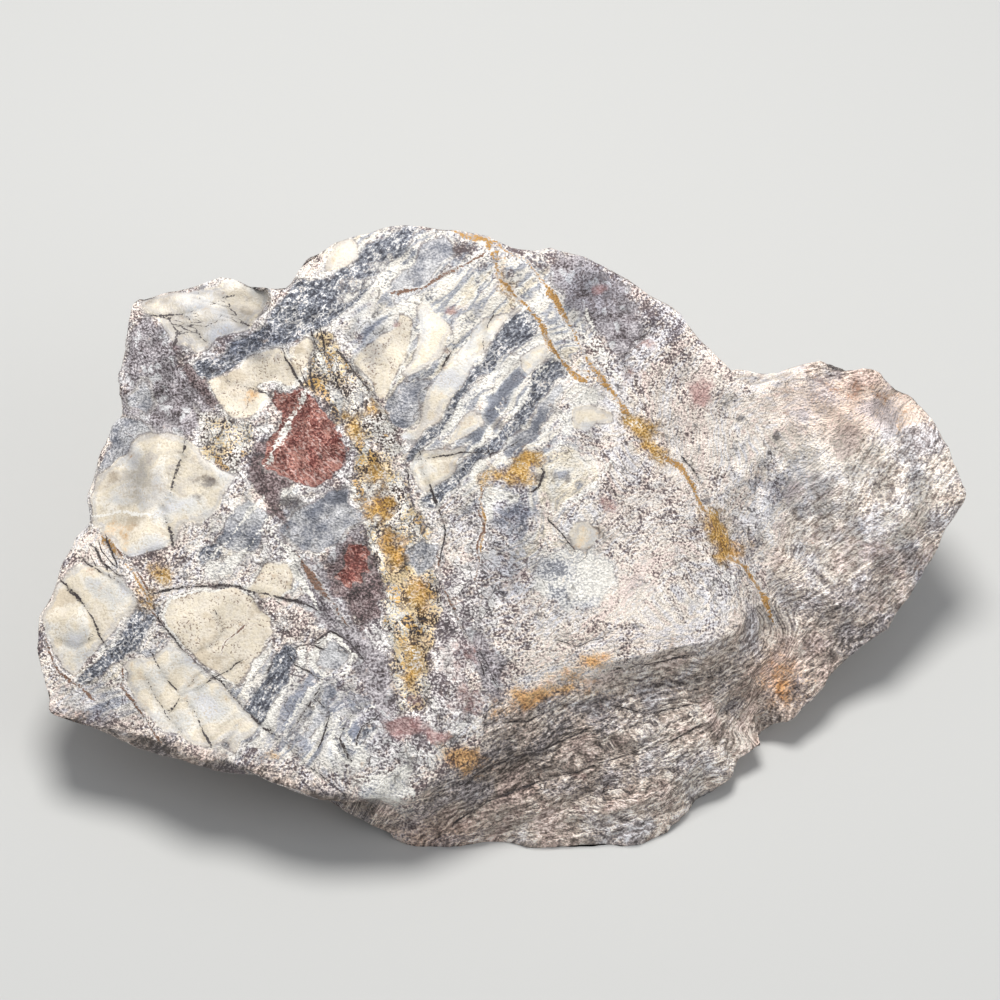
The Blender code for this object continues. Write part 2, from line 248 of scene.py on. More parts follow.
# The outlines of the patches of each kind of rock, on the chart.
PATCHES = {
    "cream": (
        ((152, 428), (164, 428), (175, 436), (184, 443), (189, 448), (196, 450), (212, 466), (233, 478),
         (229, 490), (219, 509), (202, 520), (187, 525), (179, 536), (175, 545), (164, 551), (130, 558),
         (107, 540), (93, 524), (91, 499), (96, 477), (114, 463), (124, 453), (137, 438)),
        ((138, 309), (143, 299), (164, 292), (195, 283), (221, 280), (235, 275), (254, 281), (268, 296),
         (265, 306), (250, 323), (233, 331), (214, 340), (198, 350), (191, 340), (177, 342), (162, 319)),
        ((331, 262), (334, 240), (345, 234), (360, 237), (362, 250), (350, 262), (330, 274)),
        ((44, 615), (60, 585), (76, 566), (97, 560), (115, 572), (135, 590), (138, 602), (128, 618),
         (110, 634), (92, 652), (74, 676), (58, 664), (46, 640)),
        ((123, 668), (140, 652), (155, 655), (170, 640), (204, 668), (228, 695), (250, 716), (246, 722),
         (236, 735), (224, 744), (208, 746), (180, 738), (160, 732), (150, 716), (132, 692)),
        ((571, 427), (577, 410), (592, 406), (610, 408), (612, 418), (600, 424), (586, 428)),
        ((520, 306), (492, 314), (484, 316), (475, 327), (466, 343), (453, 356), (442, 369), (434, 385),
         (429, 398), (421, 411), (416, 424), (411, 429), (400, 432), (400, 441), (416, 440), (426, 424),
         (437, 416), (453, 398), (466, 382), (471, 372), (479, 358), (487, 348), (492, 337), (500, 322),
         (511, 314), (524, 310)),
        ((521, 353), (547, 337), (555, 350), (547, 358), (532, 369), (526, 364)),
        ((484, 414), (487, 421), (479, 432), (463, 440), (447, 443), (453, 432), (463, 421), (474, 415)),
        ((418, 448), (440, 450), (466, 448), (453, 474), (440, 486), (429, 495), (416, 482), (408, 466)),
        ((576, 524), (588, 522), (598, 530), (598, 542), (588, 549), (576, 546), (571, 536)),
        ((414, 300), (430, 297), (446, 318), (452, 334), (442, 352), (424, 372), (404, 380), (416, 352),
         (420, 330)),
        ((228, 742), (240, 716), (252, 716), (258, 724), (246, 742), (236, 752)),
    ),
    "tan": (
        ((237, 367), (252, 352), (277, 347), (284, 356), (296, 375), (292, 382), (279, 384), (250, 388),
         (231, 384), (221, 373)),
        ((285, 350), (305, 335), (311, 346), (302, 375), (296, 375)),
        ((203, 376), (219, 373), (231, 384), (250, 388), (273, 398), (260, 413), (250, 417), (231, 415),
         (216, 402), (208, 385)),
        ((165, 615), (176, 598), (205, 590), (240, 592), (256, 606), (276, 630), (268, 648), (254, 662),
         (246, 676), (238, 690), (226, 682), (206, 666), (186, 650), (170, 634)),
        ((350, 362), (365, 345), (396, 326), (400, 310), (412, 316), (412, 340), (404, 366), (388, 394),
         (380, 398), (366, 380)),
        ((72, 590), (96, 578), (120, 596), (104, 616), (78, 640), (60, 640), (50, 622)),
        ((190, 690), (206, 682), (222, 694), (226, 706), (206, 712), (192, 706)),
        ((248, 590), (270, 560), (290, 566), (292, 592), (280, 602), (262, 600)),
    ),
    "slate": (
        ((194, 358), (210, 354), (225, 352), (231, 342), (244, 331), (260, 325), (267, 315), (286, 293),
         (296, 275), (330, 279), (345, 262), (372, 240), (396, 226), (420, 220), (416, 232), (390, 262),
         (372, 286), (350, 308), (330, 323), (306, 331), (279, 348), (260, 346), (237, 363), (221, 373),
         (198, 375), (193, 367)),
        ((132, 603), (150, 596), (160, 608), (150, 630), (128, 652), (108, 668), (84, 690), (74, 684),
         (88, 668), (108, 648), (124, 628)),
        ((286, 642), (297, 646), (298, 658), (290, 678), (274, 698), (262, 720), (250, 742), (236, 750),
         (224, 746), (236, 724), (248, 704), (260, 682), (272, 660)),
        ((505, 319), (524, 310), (532, 306), (539, 316), (532, 332), (518, 343), (505, 353), (495, 369),
         (482, 377), (471, 393), (461, 406), (450, 419), (439, 432), (426, 443), (416, 458), (405, 461),
         (408, 453), (421, 437), (429, 424), (442, 414), (455, 395), (466, 382), (476, 366), (487, 353),
         (492, 340)),
        ((539, 366), (553, 358), (571, 362), (566, 377), (553, 384), (541, 402), (526, 420), (508, 438),
         (490, 452), (474, 468), (460, 484), (446, 502), (436, 512), (424, 506), (432, 495), (447, 477),
         (463, 462), (482, 446), (496, 434), (510, 418), (524, 402), (532, 388)),
        ((196, 556), (206, 542), (222, 540), (224, 552), (212, 566), (198, 566)),
    ),
    "mauve": (
        ((137, 310), (152, 315), (164, 323), (172, 337), (177, 352), (189, 367), (198, 382), (212, 402),
         (214, 413), (202, 432), (184, 443), (164, 428), (149, 423), (124, 420), (122, 394), (120, 375),
         (124, 342), (133, 323)),
        ((284, 528), (300, 556), (322, 561), (338, 571), (346, 600), (352, 626), (372, 640), (392, 668),
         (400, 700), (388, 722), (370, 700), (360, 676), (338, 650), (318, 620), (300, 590), (286, 560)),
        ((331, 544), (370, 526), (378, 540), (360, 546), (346, 554), (334, 568), (322, 561)),
        ((548, 260), (580, 256), (608, 272), (640, 300), (652, 330), (630, 350), (606, 340), (590, 318),
         (570, 300), (552, 280)),
        ((466, 620), (490, 640), (510, 668), (508, 700), (486, 690), (470, 660)),
    ),
    "red": (
        ((275, 398), (300, 383), (309, 391), (319, 406), (331, 420), (341, 432), (344, 449), (341, 463),
         (331, 476), (319, 487), (307, 485), (294, 478), (284, 470), (272, 468), (260, 460), (268, 440),
         (278, 424)),
        ((334, 576), (345, 567), (343, 556), (353, 548), (366, 543), (375, 551), (368, 560), (373, 570),
         (362, 574), (365, 585), (355, 582), (352, 594), (343, 585)),
    ),
    "maroon": (
        ((248, 454), (258, 442), (272, 436), (286, 450), (293, 466), (296, 482), (283, 488), (278, 504),
         (290, 528), (276, 523), (264, 507), (255, 483), (248, 472)),
        ((322, 558), (336, 560), (342, 546), (368, 540), (380, 556), (378, 570), (388, 584), (382, 598),
         (386, 614), (372, 618), (366, 632), (352, 620), (346, 604), (334, 598), (330, 580)),
        ((168, 334), (178, 345), (196, 376), (212, 402), (206, 404), (188, 378), (172, 350)),
    ),
    "ochre": (
        ((139, 590), (148, 584), (155, 594), (152, 606), (143, 604)),
        ((156, 570), (164, 564), (170, 574), (164, 582), (156, 580)),
        ((366, 404), (376, 400), (381, 408), (374, 416), (366, 414)),
        ((345, 418), (354, 414), (358, 426), (352, 434), (345, 430)),
        ((364, 498), (376, 490), (390, 500), (394, 514), (382, 520), (370, 512)),
        ((388, 528), (400, 536), (404, 556), (396, 566), (386, 552)),
        ((404, 584), (420, 578), (430, 596), (418, 612), (406, 604)),
        ((370, 462), (380, 458), (386, 472), (376, 480), (368, 474)),
        ((404, 644), (416, 636), (424, 656), (416, 690), (404, 676)),
        ((484, 480), (500, 466), (519, 457), (539, 450), (543, 456), (534, 471), (523, 486), (510, 481),
         (497, 480)),
        ((622, 410), (636, 412), (652, 420), (664, 424), (656, 436), (668, 452), (668, 462), (652, 452),
         (640, 438), (626, 424)),
        ((700, 510), (716, 514), (732, 534), (744, 552), (736, 566), (716, 556), (702, 532)),
        ((500, 270), (512, 284), (522, 296), (514, 298), (502, 284)),
    ),
    "breccia": (
        ((193, 405), (218, 413), (250, 421), (256, 432), (254, 451), (240, 467), (233, 478), (212, 466),
         (196, 450), (202, 432)),
        ((307, 330), (318, 322), (330, 330), (340, 352), (352, 368), (366, 386), (382, 402), (392, 424),
         (400, 446), (396, 470), (380, 450), (366, 440), (352, 440), (340, 424), (326, 404), (310, 390),
         (300, 384), (304, 356)),
        ((350, 440), (380, 452), (400, 470), (412, 490), (424, 520), (434, 556), (442, 600), (434, 640),
         (432, 690), (424, 712), (404, 710), (394, 690), (392, 640), (384, 604), (372, 560), (366, 520),
         (352, 490)),
    ),
    "white": (
        ((279, 499), (288, 481), (298, 486), (306, 494)),
        ((331, 390), (340, 394), (346, 414), (341, 420), (334, 408)),
        ((355, 394), (360, 396), (364, 411), (360, 421), (357, 411)),
        ((540, 560), (566, 548), (590, 536), (610, 556), (616, 586), (600, 606), (570, 612), (546, 600),
         (532, 584)),
        ((480, 500), (496, 486), (520, 490), (516, 500), (498, 504), (484, 516)),
        ((348, 762), (352, 748), (366, 742), (372, 752), (362, 766), (352, 770)),
        ((358, 790), (370, 776), (406, 764), (411, 782), (417, 799), (396, 806), (370, 802)),
        ((206, 566), (228, 560), (246, 548), (240, 566), (224, 580), (206, 584)),
        ((560, 420), (582, 392), (596, 384), (604, 400), (586, 410), (572, 436), (552, 452)),
    ),
    "blue": (
        ((290, 518), (319, 500), (346, 483), (353, 490), (350, 504), (369, 516), (357, 526), (341, 540),
         (331, 544), (302, 554), (290, 540), (281, 530)),
        ((334, 684), (342, 690), (326, 714), (308, 738), (294, 744), (284, 738), (298, 720), (316, 698)),
        ((320, 650), (334, 642), (350, 656), (344, 668), (328, 670), (318, 662)),
        ((134, 382), (148, 380), (152, 396), (146, 412), (132, 410), (128, 396)),
        ((110, 428), (124, 420), (149, 423), (152, 428), (137, 438), (124, 453), (114, 463), (97, 476),
         (99, 461), (108, 444)),
        ((230, 520), (250, 500), (270, 520), (262, 548), (240, 552), (214, 540)),
        ((404, 548), (420, 540), (440, 544), (438, 566), (420, 572), (408, 562)),
        ((392, 286), (420, 244), (446, 236), (456, 250), (440, 270), (414, 290), (396, 300)),
        ((282, 566), (292, 560), (302, 580), (296, 596), (284, 594)),
        ((386, 404), (398, 388), (418, 382), (434, 380), (424, 396), (412, 424), (400, 430), (388, 422)),
    ),
    "brushed": (
        ((409, 812), (431, 783), (475, 764), (490, 745), (487, 724), (503, 702), (569, 690), (619, 672),
         (662, 656), (706, 640), (740, 616), (770, 596), (782, 545), (790, 490), (800, 430), (806, 380),
         (812, 300), (1000, 250), (1010, 700), (800, 900), (400, 900)),
        ((50, 704), (92, 716), (115, 722), (140, 732), (170, 741), (197, 751), (230, 761), (263, 771),
         (322, 788), (370, 800), (400, 812), (400, 860), (40, 860)),
    ),
}
# The stripes of rock: half the width, and then the points along the middle.
STRIPES = {
    "white": (
        (3.0, (547, 335), (532, 343), (516, 356), (505, 369), (487, 382), (476, 395), (461, 411), (445, 432)),
        (2.0, (320, 727), (334, 717), (346, 712), (364, 702)),
        (2.0, (345, 737), (348, 752), (360, 756), (374, 752)),
        (2.0, (275, 700), (292, 684), (306, 668), (312, 656)),
        (2.0, (330, 300), (360, 276), (386, 256)),
        (1.6, (346, 296), (372, 280), (392, 262)),
        (2.0, (556, 410), (572, 396), (584, 386)),
        (1.6, (290, 740), (306, 722), (322, 700), (330, 684)),
    ),
    "slate": (
        (3.0, (334, 742), (338, 752), (346, 760)),
        (3.0, (357, 744), (364, 734), (374, 726)),
        (3.0, (212, 742), (232, 724), (254, 706)),
        (2.5, (292, 738), (308, 716), (324, 696)),
    ),
    "blue": (
        (6.5, (558, 392), (546, 408), (532, 427), (518, 440), (506, 453)),
        (3.0, (448, 330), (430, 356), (412, 380)),
    ),
}
# The veins: half the width, and then the points that each one runs through.
VEINS = {
    "dark_vein": (
        (1.0, (61, 581), (75, 593), (89, 613), (98, 636), (112, 657)),
        (1.1, (153, 593), (181, 587), (215, 586), (240, 588), (268, 596), (295, 602), (318, 609)),
        (1.0, (158, 618), (181, 648), (199, 664), (227, 689), (240, 705), (261, 724), (284, 744),
         (307, 765), (344, 793)),
        (0.8, (245, 590), (261, 611), (279, 627), (286, 650), (295, 664), (309, 673), (337, 685), (348, 689)),
        (0.9, (275, 600), (279, 627)),
        (0.7, (332, 632), (351, 643), (364, 659)),
        (0.8, (153, 652), (167, 678), (181, 696), (199, 717), (211, 744)),
        (0.8, (146, 678), (158, 701), (167, 717), (181, 731)),
        (0.6, (167, 717), (181, 696), (204, 671)),
        (0.8, (82, 558), (98, 570), (119, 581), (139, 600)),
        (0.6, (96, 547), (107, 565), (121, 577)),
        (0.6, (107, 540), (116, 558), (119, 572)),
        (0.8, (220, 372), (231, 381), (250, 388), (273, 395)),
        (0.8, (282, 347), (286, 361), (300, 381)),
        (1.2, (184, 444), (180, 464), (172, 482), (170, 500)),
        (1.3, (163, 505), (168, 520), (171, 532), (173, 545)),
        (0.8, (152, 314), (168, 315), (191, 310), (214, 301), (233, 292), (240, 285)),
        (0.7, (200, 285), (203, 302)),
        (0.7, (238, 289), (229, 304), (217, 319), (204, 325)),
        (0.6, (229, 304), (237, 312), (242, 319), (250, 321)),
        (0.6, (191, 310), (189, 317), (175, 340)),
        (0.6, (189, 317), (197, 330), (205, 338)),
        (0.6, (168, 315), (178, 330), (176, 340)),
        (0.9, (337, 349), (349, 365), (363, 384), (376, 402), (390, 425), (399, 448)),
        (0.7, (310, 330), (313, 350), (308, 372), (312, 386)),
        (0.7, (320, 330), (322, 352), (330, 366), (338, 390)),
        (0.6, (495, 311), (487, 324), (484, 342)),
        (0.9, (464, 334), (452, 350), (440, 368)),
        (1.0, (684, 458), (692, 466), (700, 480), (706, 492)),
        (0.8, (266, 724), (280, 740), (296, 752)),
        (0.9, (536, 462), (546, 470), (538, 486), (532, 490)),
        (0.6, (318, 700), (330, 712), (322, 740), (316, 760)),
        (0.6, (442, 560), (444, 530), (438, 505), (430, 480)),
        (0.7, (470, 640), (486, 662), (500, 690)),
        (0.7, (454, 610), (470, 640), (486, 676)),
        (1.0, (486, 726), (488, 712), (500, 702)),
        (0.8, (660, 308), (652, 330), (634, 340), (624, 358), (628, 372)),
        (0.6, (420, 450), (424, 470), (432, 490), (440, 506)),
        (0.6, (404, 452), (408, 474), (412, 496)),
        (0.6, (520, 440), (504, 450), (488, 452)),
        (0.6, (416, 458), (440, 456), (466, 452), (490, 452)),
        (0.5, (60, 640), (76, 646), (88, 640)),
        (0.7, (486, 726), (530, 720), (567, 707)),
        (0.8, (567, 709), (599, 701), (649, 714), (692, 705)),
        (0.7, (617, 672), (655, 666), (705, 654)),
        (0.6, (436, 796), (492, 770), (542, 751), (586, 732)),
        (0.6, (455, 822), (517, 791), (586, 770), (655, 751), (705, 726)),
        (0.5, (560, 640), (580, 646), (600, 640), (620, 630), (640, 628)),
        (0.5, (552, 520), (566, 536), (576, 548)),
        (0.8, (322, 688), (304, 712), (288, 734)),
        (0.6, (262, 598), (271, 616), (279, 627), (300, 640), (322, 648)),
        (0.6, (286, 650), (310, 644), (332, 632)),
        (0.6, (295, 664), (316, 676), (336, 684)),
        (0.6, (196, 690), (222, 676), (240, 664)),
        (0.6, (216, 612), (222, 630), (214, 646), (196, 652)),
        (0.8, (364, 705), (348, 720), (340, 740), (349, 757)),
        (0.9, (378, 716), (363, 726), (357, 740)),
    ),
    "brown_vein": (
        (1.2, (121, 673), (123, 689), (142, 714), (158, 740)),
        (1.2, (395, 291), (427, 285), (450, 271), (482, 255)),
        (1.2, (45, 640), (52, 664), (62, 676), (78, 686), (92, 696)),
        (1.0, (158, 618), (148, 606)),
        (1.6, (302, 562), (318, 584), (334, 604), (346, 624)),
        (1.3, (440, 560), (446, 590), (460, 620), (470, 640)),
        (1.0, (484, 492), (478, 510), (482, 520), (486, 530)),
        (1.0, (482, 530), (478, 548), (480, 560), (476, 580)),
        (1.2, (150, 590), (140, 574), (130, 562), (120, 552)),
        (0.5, (222, 652), (226, 640), (244, 626)),
    ),
    "warm_vein": (
        (1.6, (436, 222), (462, 232), (487, 241), (496, 256)),
        (1.5, (496, 256), (500, 278), (512, 287), (528, 306), (539, 319), (555, 347), (574, 372), (584, 379)),
        (1.8, (500, 244), (528, 260), (551, 292), (572, 324), (592, 361), (617, 397), (626, 410)),
        (1.4, (668, 456), (680, 466), (694, 490), (704, 512)),
        (1.6, (734, 556), (753, 566), (772, 592), (776, 620)),
        (1.4, (148, 596), (136, 574), (122, 556), (106, 540)),
        (1.2, (484, 486), (480, 500), (484, 516), (482, 548)),
    ),
    "pale_vein": (
        (2.2, (268, 524), (280, 540), (300, 562)),
        (2.4, (303, 394), (292, 416), (280, 438), (268, 460)),
        (2.2, (547, 335), (532, 343), (516, 356), (505, 369), (487, 382), (476, 395), (461, 411), (445, 432)),
        (1.8, (555, 360), (542, 369), (532, 385), (526, 398), (518, 408), (505, 414), (500, 411)),
        (1.4, (590, 312), (598, 336), (610, 352), (606, 366), (592, 362)),
        (1.0, (92, 516), (120, 512), (160, 516)),
        (1.2, (76, 676), (98, 656), (112, 646)),
        (1.2, (200, 590), (172, 600), (162, 616), (176, 640), (202, 664), (228, 690)),
        (1.2, (266, 612), (280, 630), (270, 652), (256, 664), (248, 682)),
        (1.4, (576, 500), (600, 480), (612, 460)),
        (1.2, (288, 560), (302, 582), (318, 604)),
        (1.2, (622, 380), (612, 372), (604, 352), (596, 336)),
        (1.0, (620, 376), (604, 362), (590, 340), (582, 326)),
        (2.2, (326, 677), (308, 697), (290, 720), (276, 738)),
        (2.0, (364, 779), (384, 772), (405, 767), (410, 784), (415, 797)),
        (1.6, (348, 692), (332, 714), (314, 740)),
        (2.0, (304, 652), (299, 672), (282, 696), (270, 718), (258, 740)),
        (1.6, (318, 644), (335, 636), (356, 656), (347, 674), (326, 677), (312, 664), (318, 644)),
        (1.6, (354, 700), (340, 716), (331, 738), (338, 757), (356, 766)),
        (1.4, (374, 706), (358, 716), (347, 732), (353, 746), (368, 752)),
        (1.4, (214, 556), (232, 538), (250, 516), (262, 500)),
        (1.2, (222, 572), (244, 552), (264, 530)),
    ),
}
# Stains and spots: the middle, the reach across and down, and the strength.
SPOTS = {
    "stain": (
        (466, 760, 20, 14, 1.0), (526, 696, 16, 11, 0.8), (589, 660, 18, 10, 0.9), (556, 690, 52, 10, 0.6),
        (500, 714, 14, 12, 0.5), (786, 682, 22, 30, 0.6), (756, 470, 14, 8, 0.45), (272, 758, 8, 10, 0.5),
        (560, 672, 24, 7, 0.3), (850, 388, 50, 14, 0.25), (902, 420, 22, 20, 0.2), (420, 600, 14, 40, 0.3),
        (396, 540, 14, 30, 0.3), (587, 535, 12, 10, 0.5), (250, 398, 16, 8, 0.5), (116, 534, 20, 16, 0.45),
        (742, 548, 18, 20, 0.4),
    ),
    "rose": (
        (604, 290, 10, 6, 0.9), (702, 391, 16, 14, 0.8), (580, 775, 16, 8, 0.4), (580, 810, 16, 6, 0.4),
        (405, 728, 18, 10, 1.3), (438, 738, 12, 8, 1.0), (418, 700, 10, 10, 0.5), (470, 700, 24, 20, 0.4),
        (455, 304, 8, 6, 0.7), (640, 376, 24, 12, 0.35), (650, 340, 12, 10, 0.4), (838, 390, 50, 20, 0.3),
        (720, 730, 50, 20, 0.2), (610, 500, 14, 14, 0.4), (460, 656, 20, 26, 0.4), (396, 318, 5, 5, 0.9),
    ),
    "dark_spot": (
        (208, 482, 17, 10, 0.6), (200, 499, 10, 8, 0.55), (212, 366, 18, 7, 0.7), (236, 353, 16, 7, 0.6),
        (254, 336, 12, 8, 0.5), (290, 298, 14, 8, 0.35), (292, 505, 14, 9, 1.0), (782, 434, 5, 7, 1.0),
        (745, 415, 5, 5, 1.0), (830, 438, 4, 5, 0.9), (760, 457, 7, 3, 0.8), (637, 706, 4, 4, 1.2),
        (880, 498, 4, 4, 0.9), (496, 424, 5, 6, 1.0), (540, 474, 7, 5, 1.0), (568, 474, 8, 4, 0.7),
        (620, 392, 4, 4, 0.9), (568, 598, 5, 4, 0.8), (552, 606, 14, 5, 0.6), (576, 620, 14, 4, 0.6),
        (556, 470, 5, 10, 0.8), (572, 472, 3, 7, 0.8), (705, 503, 4, 8, 1.2), (540, 616, 8, 5, 0.9),
        (574, 632, 10, 6, 0.6), (690, 360, 10, 8, 0.5), (728, 402, 5, 4, 0.7), (744, 436, 6, 4, 0.6),
        (348, 485, 10, 8, 0.7), (560, 372, 10, 8, 0.6), (320, 352, 12, 8, 0.5), (376, 462, 12, 20, 0.45),
        (352, 385, 10, 18, 0.4),
    ),
    # Tone lightens or darkens the rock. The dark row along the lower rim of the lip, from (88, 728) to (330,
    # 804), is partly the rim's own darker colour and partly painted shade under the overhang. The strong pale
    # spot at (265, 292) is painted light over a shaded facet at the notch of the crest.
    "tone": (
        (460, 250, 80, 34, -2.4), (265, 292, 9, 11, 6.0), (690, 345, 60, 50, -0.9), (690, 440, 80, 70, 2.6),
        (590, 290, 50, 36, -2.6), (250, 344, 36, 18, -3.4), (590, 575, 60, 50, 2.3),
        (660, 620, 100, 40, 2.3), (720, 540, 50, 60, 0.8), (560, 640, 50, 24, -0.3),
        (430, 660, 60, 70, 0.2), (330, 720, 60, 40, 2.3), (520, 620, 50, 40, 0.4), (400, 460, 60, 60, 0.2),
        (500, 400, 60, 60, 0.8), (600, 470, 40, 40, 0.5), (645, 490, 26, 30, -1.6),
        (660, 530, 24, 16, -1.2), (700, 400, 20, 10, -0.8), (88, 728, 34, 12, -3.2),
        (150, 750, 44, 12, -3.2), (230, 775, 60, 14, -3.0), (330, 804, 60, 12, -3.0),
        (346, 468, 14, 24, -1.8), (300, 502, 26, 12, -0.4), (250, 440, 12, 16, -1.0),
        (860, 400, 90, 34, 4.4), (900, 480, 60, 60, 2.2), (800, 460, 60, 60, 4.2), (830, 560, 90, 60, 0.9),
        (835, 608, 50, 34, -0.9), (720, 720, 60, 60, 0.6), (560, 770, 110, 34, -1.5),
        (640, 820, 80, 30, 1.0), (690, 770, 50, 40, 1.0), (460, 810, 60, 30, -0.3), (600, 700, 70, 20, 0.6),
        (800, 640, 40, 30, 0.6),
    ),
    "warmth": (
        (860, 400, 90, 40, 0.9), (780, 690, 40, 40, 0.7), (640, 430, 80, 80, 0.2), (430, 650, 60, 70, 0.3),
        (560, 800, 120, 30, 0.3), (430, 835, 60, 20, 0.8), (330, 715, 70, 50, -1.1),
        (470, 255, 70, 26, -0.4), (90, 705, 40, 20, -0.8), (600, 290, 60, 50, -0.5),
        (870, 560, 80, 60, -0.3), (490, 520, 60, 30, -0.4), (640, 640, 100, 30, 0.3),
    ),
    "banded": (
        (440, 320, 120, 80, 1.0), (480, 430, 90, 80, 0.9), (566, 472, 30, 24, 1.0), (380, 250, 60, 40, 0.6),
        (270, 710, 90, 60, 0.9), (350, 730, 50, 40, 0.9), (330, 520, 60, 50, 0.8), (90, 700, 50, 40, 0.6),
        (560, 300, 60, 50, 0.5), (520, 560, 60, 50, 0.5), (250, 390, 60, 40, 0.5), (130, 640, 60, 40, 0.5),
        (230, 540, 40, 40, 0.6),
    ),
    "shattered": (
        (165, 370, 60, 70, 1.0), (215, 450, 50, 50, 0.9), (300, 345, 50, 50, 0.8), (330, 430, 60, 70, 0.8),
        (375, 560, 50, 90, 1.0), (420, 670, 60, 70, 0.9), (280, 560, 50, 60, 0.5), (460, 620, 50, 50, 0.5),
        (400, 740, 60, 40, 0.8), (660, 470, 40, 50, 0.3), (785, 480, 40, 40, 0.7), (745, 560, 30, 40, 0.6),
        (500, 570, 40, 40, 0.5), (720, 560, 30, 60, 0.4), (90, 690, 40, 30, 0.5), (240, 280, 70, 30, 0.5),
        (480, 520, 40, 30, 0.4),
    ),
    "front": (
        (560, 760, 140, 60, 1.0), (470, 800, 60, 40, 0.8), (700, 690, 60, 50, 0.7), (640, 790, 90, 50, 0.8),
    ),
    "smudge": (
        (250, 344, 40, 18, 1.1), (170, 480, 56, 50, 0.22), (205, 304, 50, 16, 0.35),
        (376, 340, 26, 34, 0.35), (560, 770, 80, 30, 0.15), (590, 286, 36, 26, 0.35),
        (165, 302, 24, 12, 0.5), (215, 318, 30, 14, 0.6), (150, 470, 40, 40, 0.2), (522, 513, 26, 9, 1.2),
        (206, 330, 30, 10, 0.5), (366, 334, 20, 36, 0.45), (815, 488, 34, 22, 0.6),
        (790, 500, 60, 40, 0.35), (850, 530, 36, 18, 0.45), (890, 556, 36, 22, 0.55),
        (926, 572, 26, 24, 0.55), (868, 606, 60, 24, 0.5), (826, 646, 30, 24, 0.4), (760, 590, 24, 40, 0.3),
        (700, 540, 30, 40, 0.3), (745, 480, 30, 30, 0.25), (510, 570, 30, 36, 0.8), (600, 300, 50, 40, 0.3),
        (560, 615, 40, 20, 0.35), (640, 590, 30, 20, 0.3), (133, 470, 16, 30, 0.4), (140, 500, 22, 22, 0.3),
        (216, 286, 18, 9, 0.8), (178, 330, 16, 12, 0.5), (242, 316, 18, 10, 0.4),
    ),
}


def lattice_value(cell, seed):
    """A fixed scrambled number from -1 to 1 for each whole-numbered cell."""
    mixed = cell[:, 0] * 73856093 ^ cell[:, 1] * 19349663 ^ cell[:, 2] * 83492791 ^ seed * 40503
    mixed = (mixed ^ (mixed >> 13)) * 1274126177 & 0xFFFFFFFF
    mixed = (mixed ^ (mixed >> 15)) * 2246822519 & 0xFFFFFFFF
    return (mixed >> 8 & 0xFFFF) / 32767.5 - 1.0


def noise(points, seed):
    """Smooth noise from -1 to 1: the cell values, faded between the eight cells round each point."""
    cell = np.floor(points).astype(np.int64)
    part = points - cell
    fade = part * part * (3 - 2 * part)
    total = np.zeros(len(points))
    for corner in np.ndindex(2, 2, 2):
        weight = np.prod(np.where(corner, fade, 1 - fade), axis=1)
        total += weight * lattice_value(cell + corner, seed)
    return total


def dishes(points, seed):
    """Squared distance to the nearest scattered centre, 0 to about 1: hollows that meet in sharp ridges."""
    cell = np.floor(points).astype(np.int64)
    nearest = np.full(len(points), np.inf)
    for step in np.ndindex(3, 3, 3):
        home = cell + np.array(step) - 1
        offset = np.stack([lattice_value(home, seed + axis) for axis in range(3)], axis=1)
        centre = home + 0.5 * (1 + SCATTER * offset)
        nearest = np.minimum(nearest, np.sum((points - centre) ** 2, axis=1))
    return nearest


def below_face(points):
    """How far each point lies under the plane of the big face, in millimetres."""
    x, y, z = (points - FACE_POINT).T
    return FACE_CLIMB[0] * x + FACE_CLIMB[1] * y - z


def share(values, start, end):
    """0 before start, 1 after end, and even between them."""
    return np.clip((values - start) / (end - start), 0, 1)


def lumpy(points, size, height, seed):
    """Rounded lumps and hollows of one kind."""
    return height * noise(points / size, seed)


def dished(points, size, depth, seed):
    """Hollow fracture dishes of one kind, which meet in sharp ridges."""
    return depth * (dishes(points / size, seed) - DISH_MEAN)


def back_share(points):
    """1 on the back and deep under the big face, 0 on the faces that can be seen."""
    return np.clip(share(points[:, 1], *BACK_SPAN) + share(below_face(points), *UNDER_SPAN), 0, 1)


def relief(points):
    """Height of the surface over the net: lumps, hollow fracture dishes and the broken ledges of the layers.
    The big face is the flattest, the right lobe and the front show the layers, and the back is roughest."""
    right = share(points[:, 0], *RIGHT_SPAN)
    off_face = share(below_face(points), *OFF_FACE_SPAN)
    dish_share = FACE_DISH_SHARE + (1 - FACE_DISH_SHARE) * back_share(points)
    across = points @ LAYER_NORMAL
    along = points - np.outer(across, LAYER_NORMAL)
    layered = along / LAYER_RUN + np.outer(across / LAYER_STEP, LAYER_NORMAL)
    ledge_share = np.clip(FACE_LAYER_SHARE + right + off_face, 0, 1)
    ledges = LAYER_HEIGHT * noise(layered, LAYER_SEED) * ledge_share
    return lumpy(points, *LUMPS) + dished(points, *DISHES) * dish_share + ledges


# ---------------------------------------------------------------- the skin's shape


def cube_grid(quads):
    """Directions over a whole sphere and the four-sided faces between them.
    Each side of a cube carries a square lattice. Its lines stand at even angles, which is the tangent of
    even steps, and the sides are welded along the cube's edges. The lattice point is the direction."""
    steps = np.arange(quads + 1)
    along, over = (grid.ravel() for grid in np.meshgrid(steps, steps, indexing="ij"))
    corner = (along < quads) & (over < quads)
    first = (along * (quads + 1) + over)[corner]
    square = np.stack([first, first + quads + 1, first + quads + 2, first + 1], axis=1)
    lattice, faces = [], []
    for axis in EVERY_AXIS:
        for side in (0, quads):
            patch = np.empty((len(along), 3), np.int64)
            patch[:, axis] = side
            patch[:, (axis + 1) % 3] = along
            patch[:, (axis + 2) % 3] = over
            faces.append((square if side else square[:, ::-1]) + len(lattice) * len(along))
            lattice.append(patch)
    lattice, index = np.unique(np.concatenate(lattice), axis=0, return_inverse=True)
    warped = np.tan((2 * lattice / quads - 1) * pi / 4)
    directions = warped / np.linalg.norm(warped, axis=1, keepdims=True)
    return directions, index.ravel()[np.concatenate(faces)]


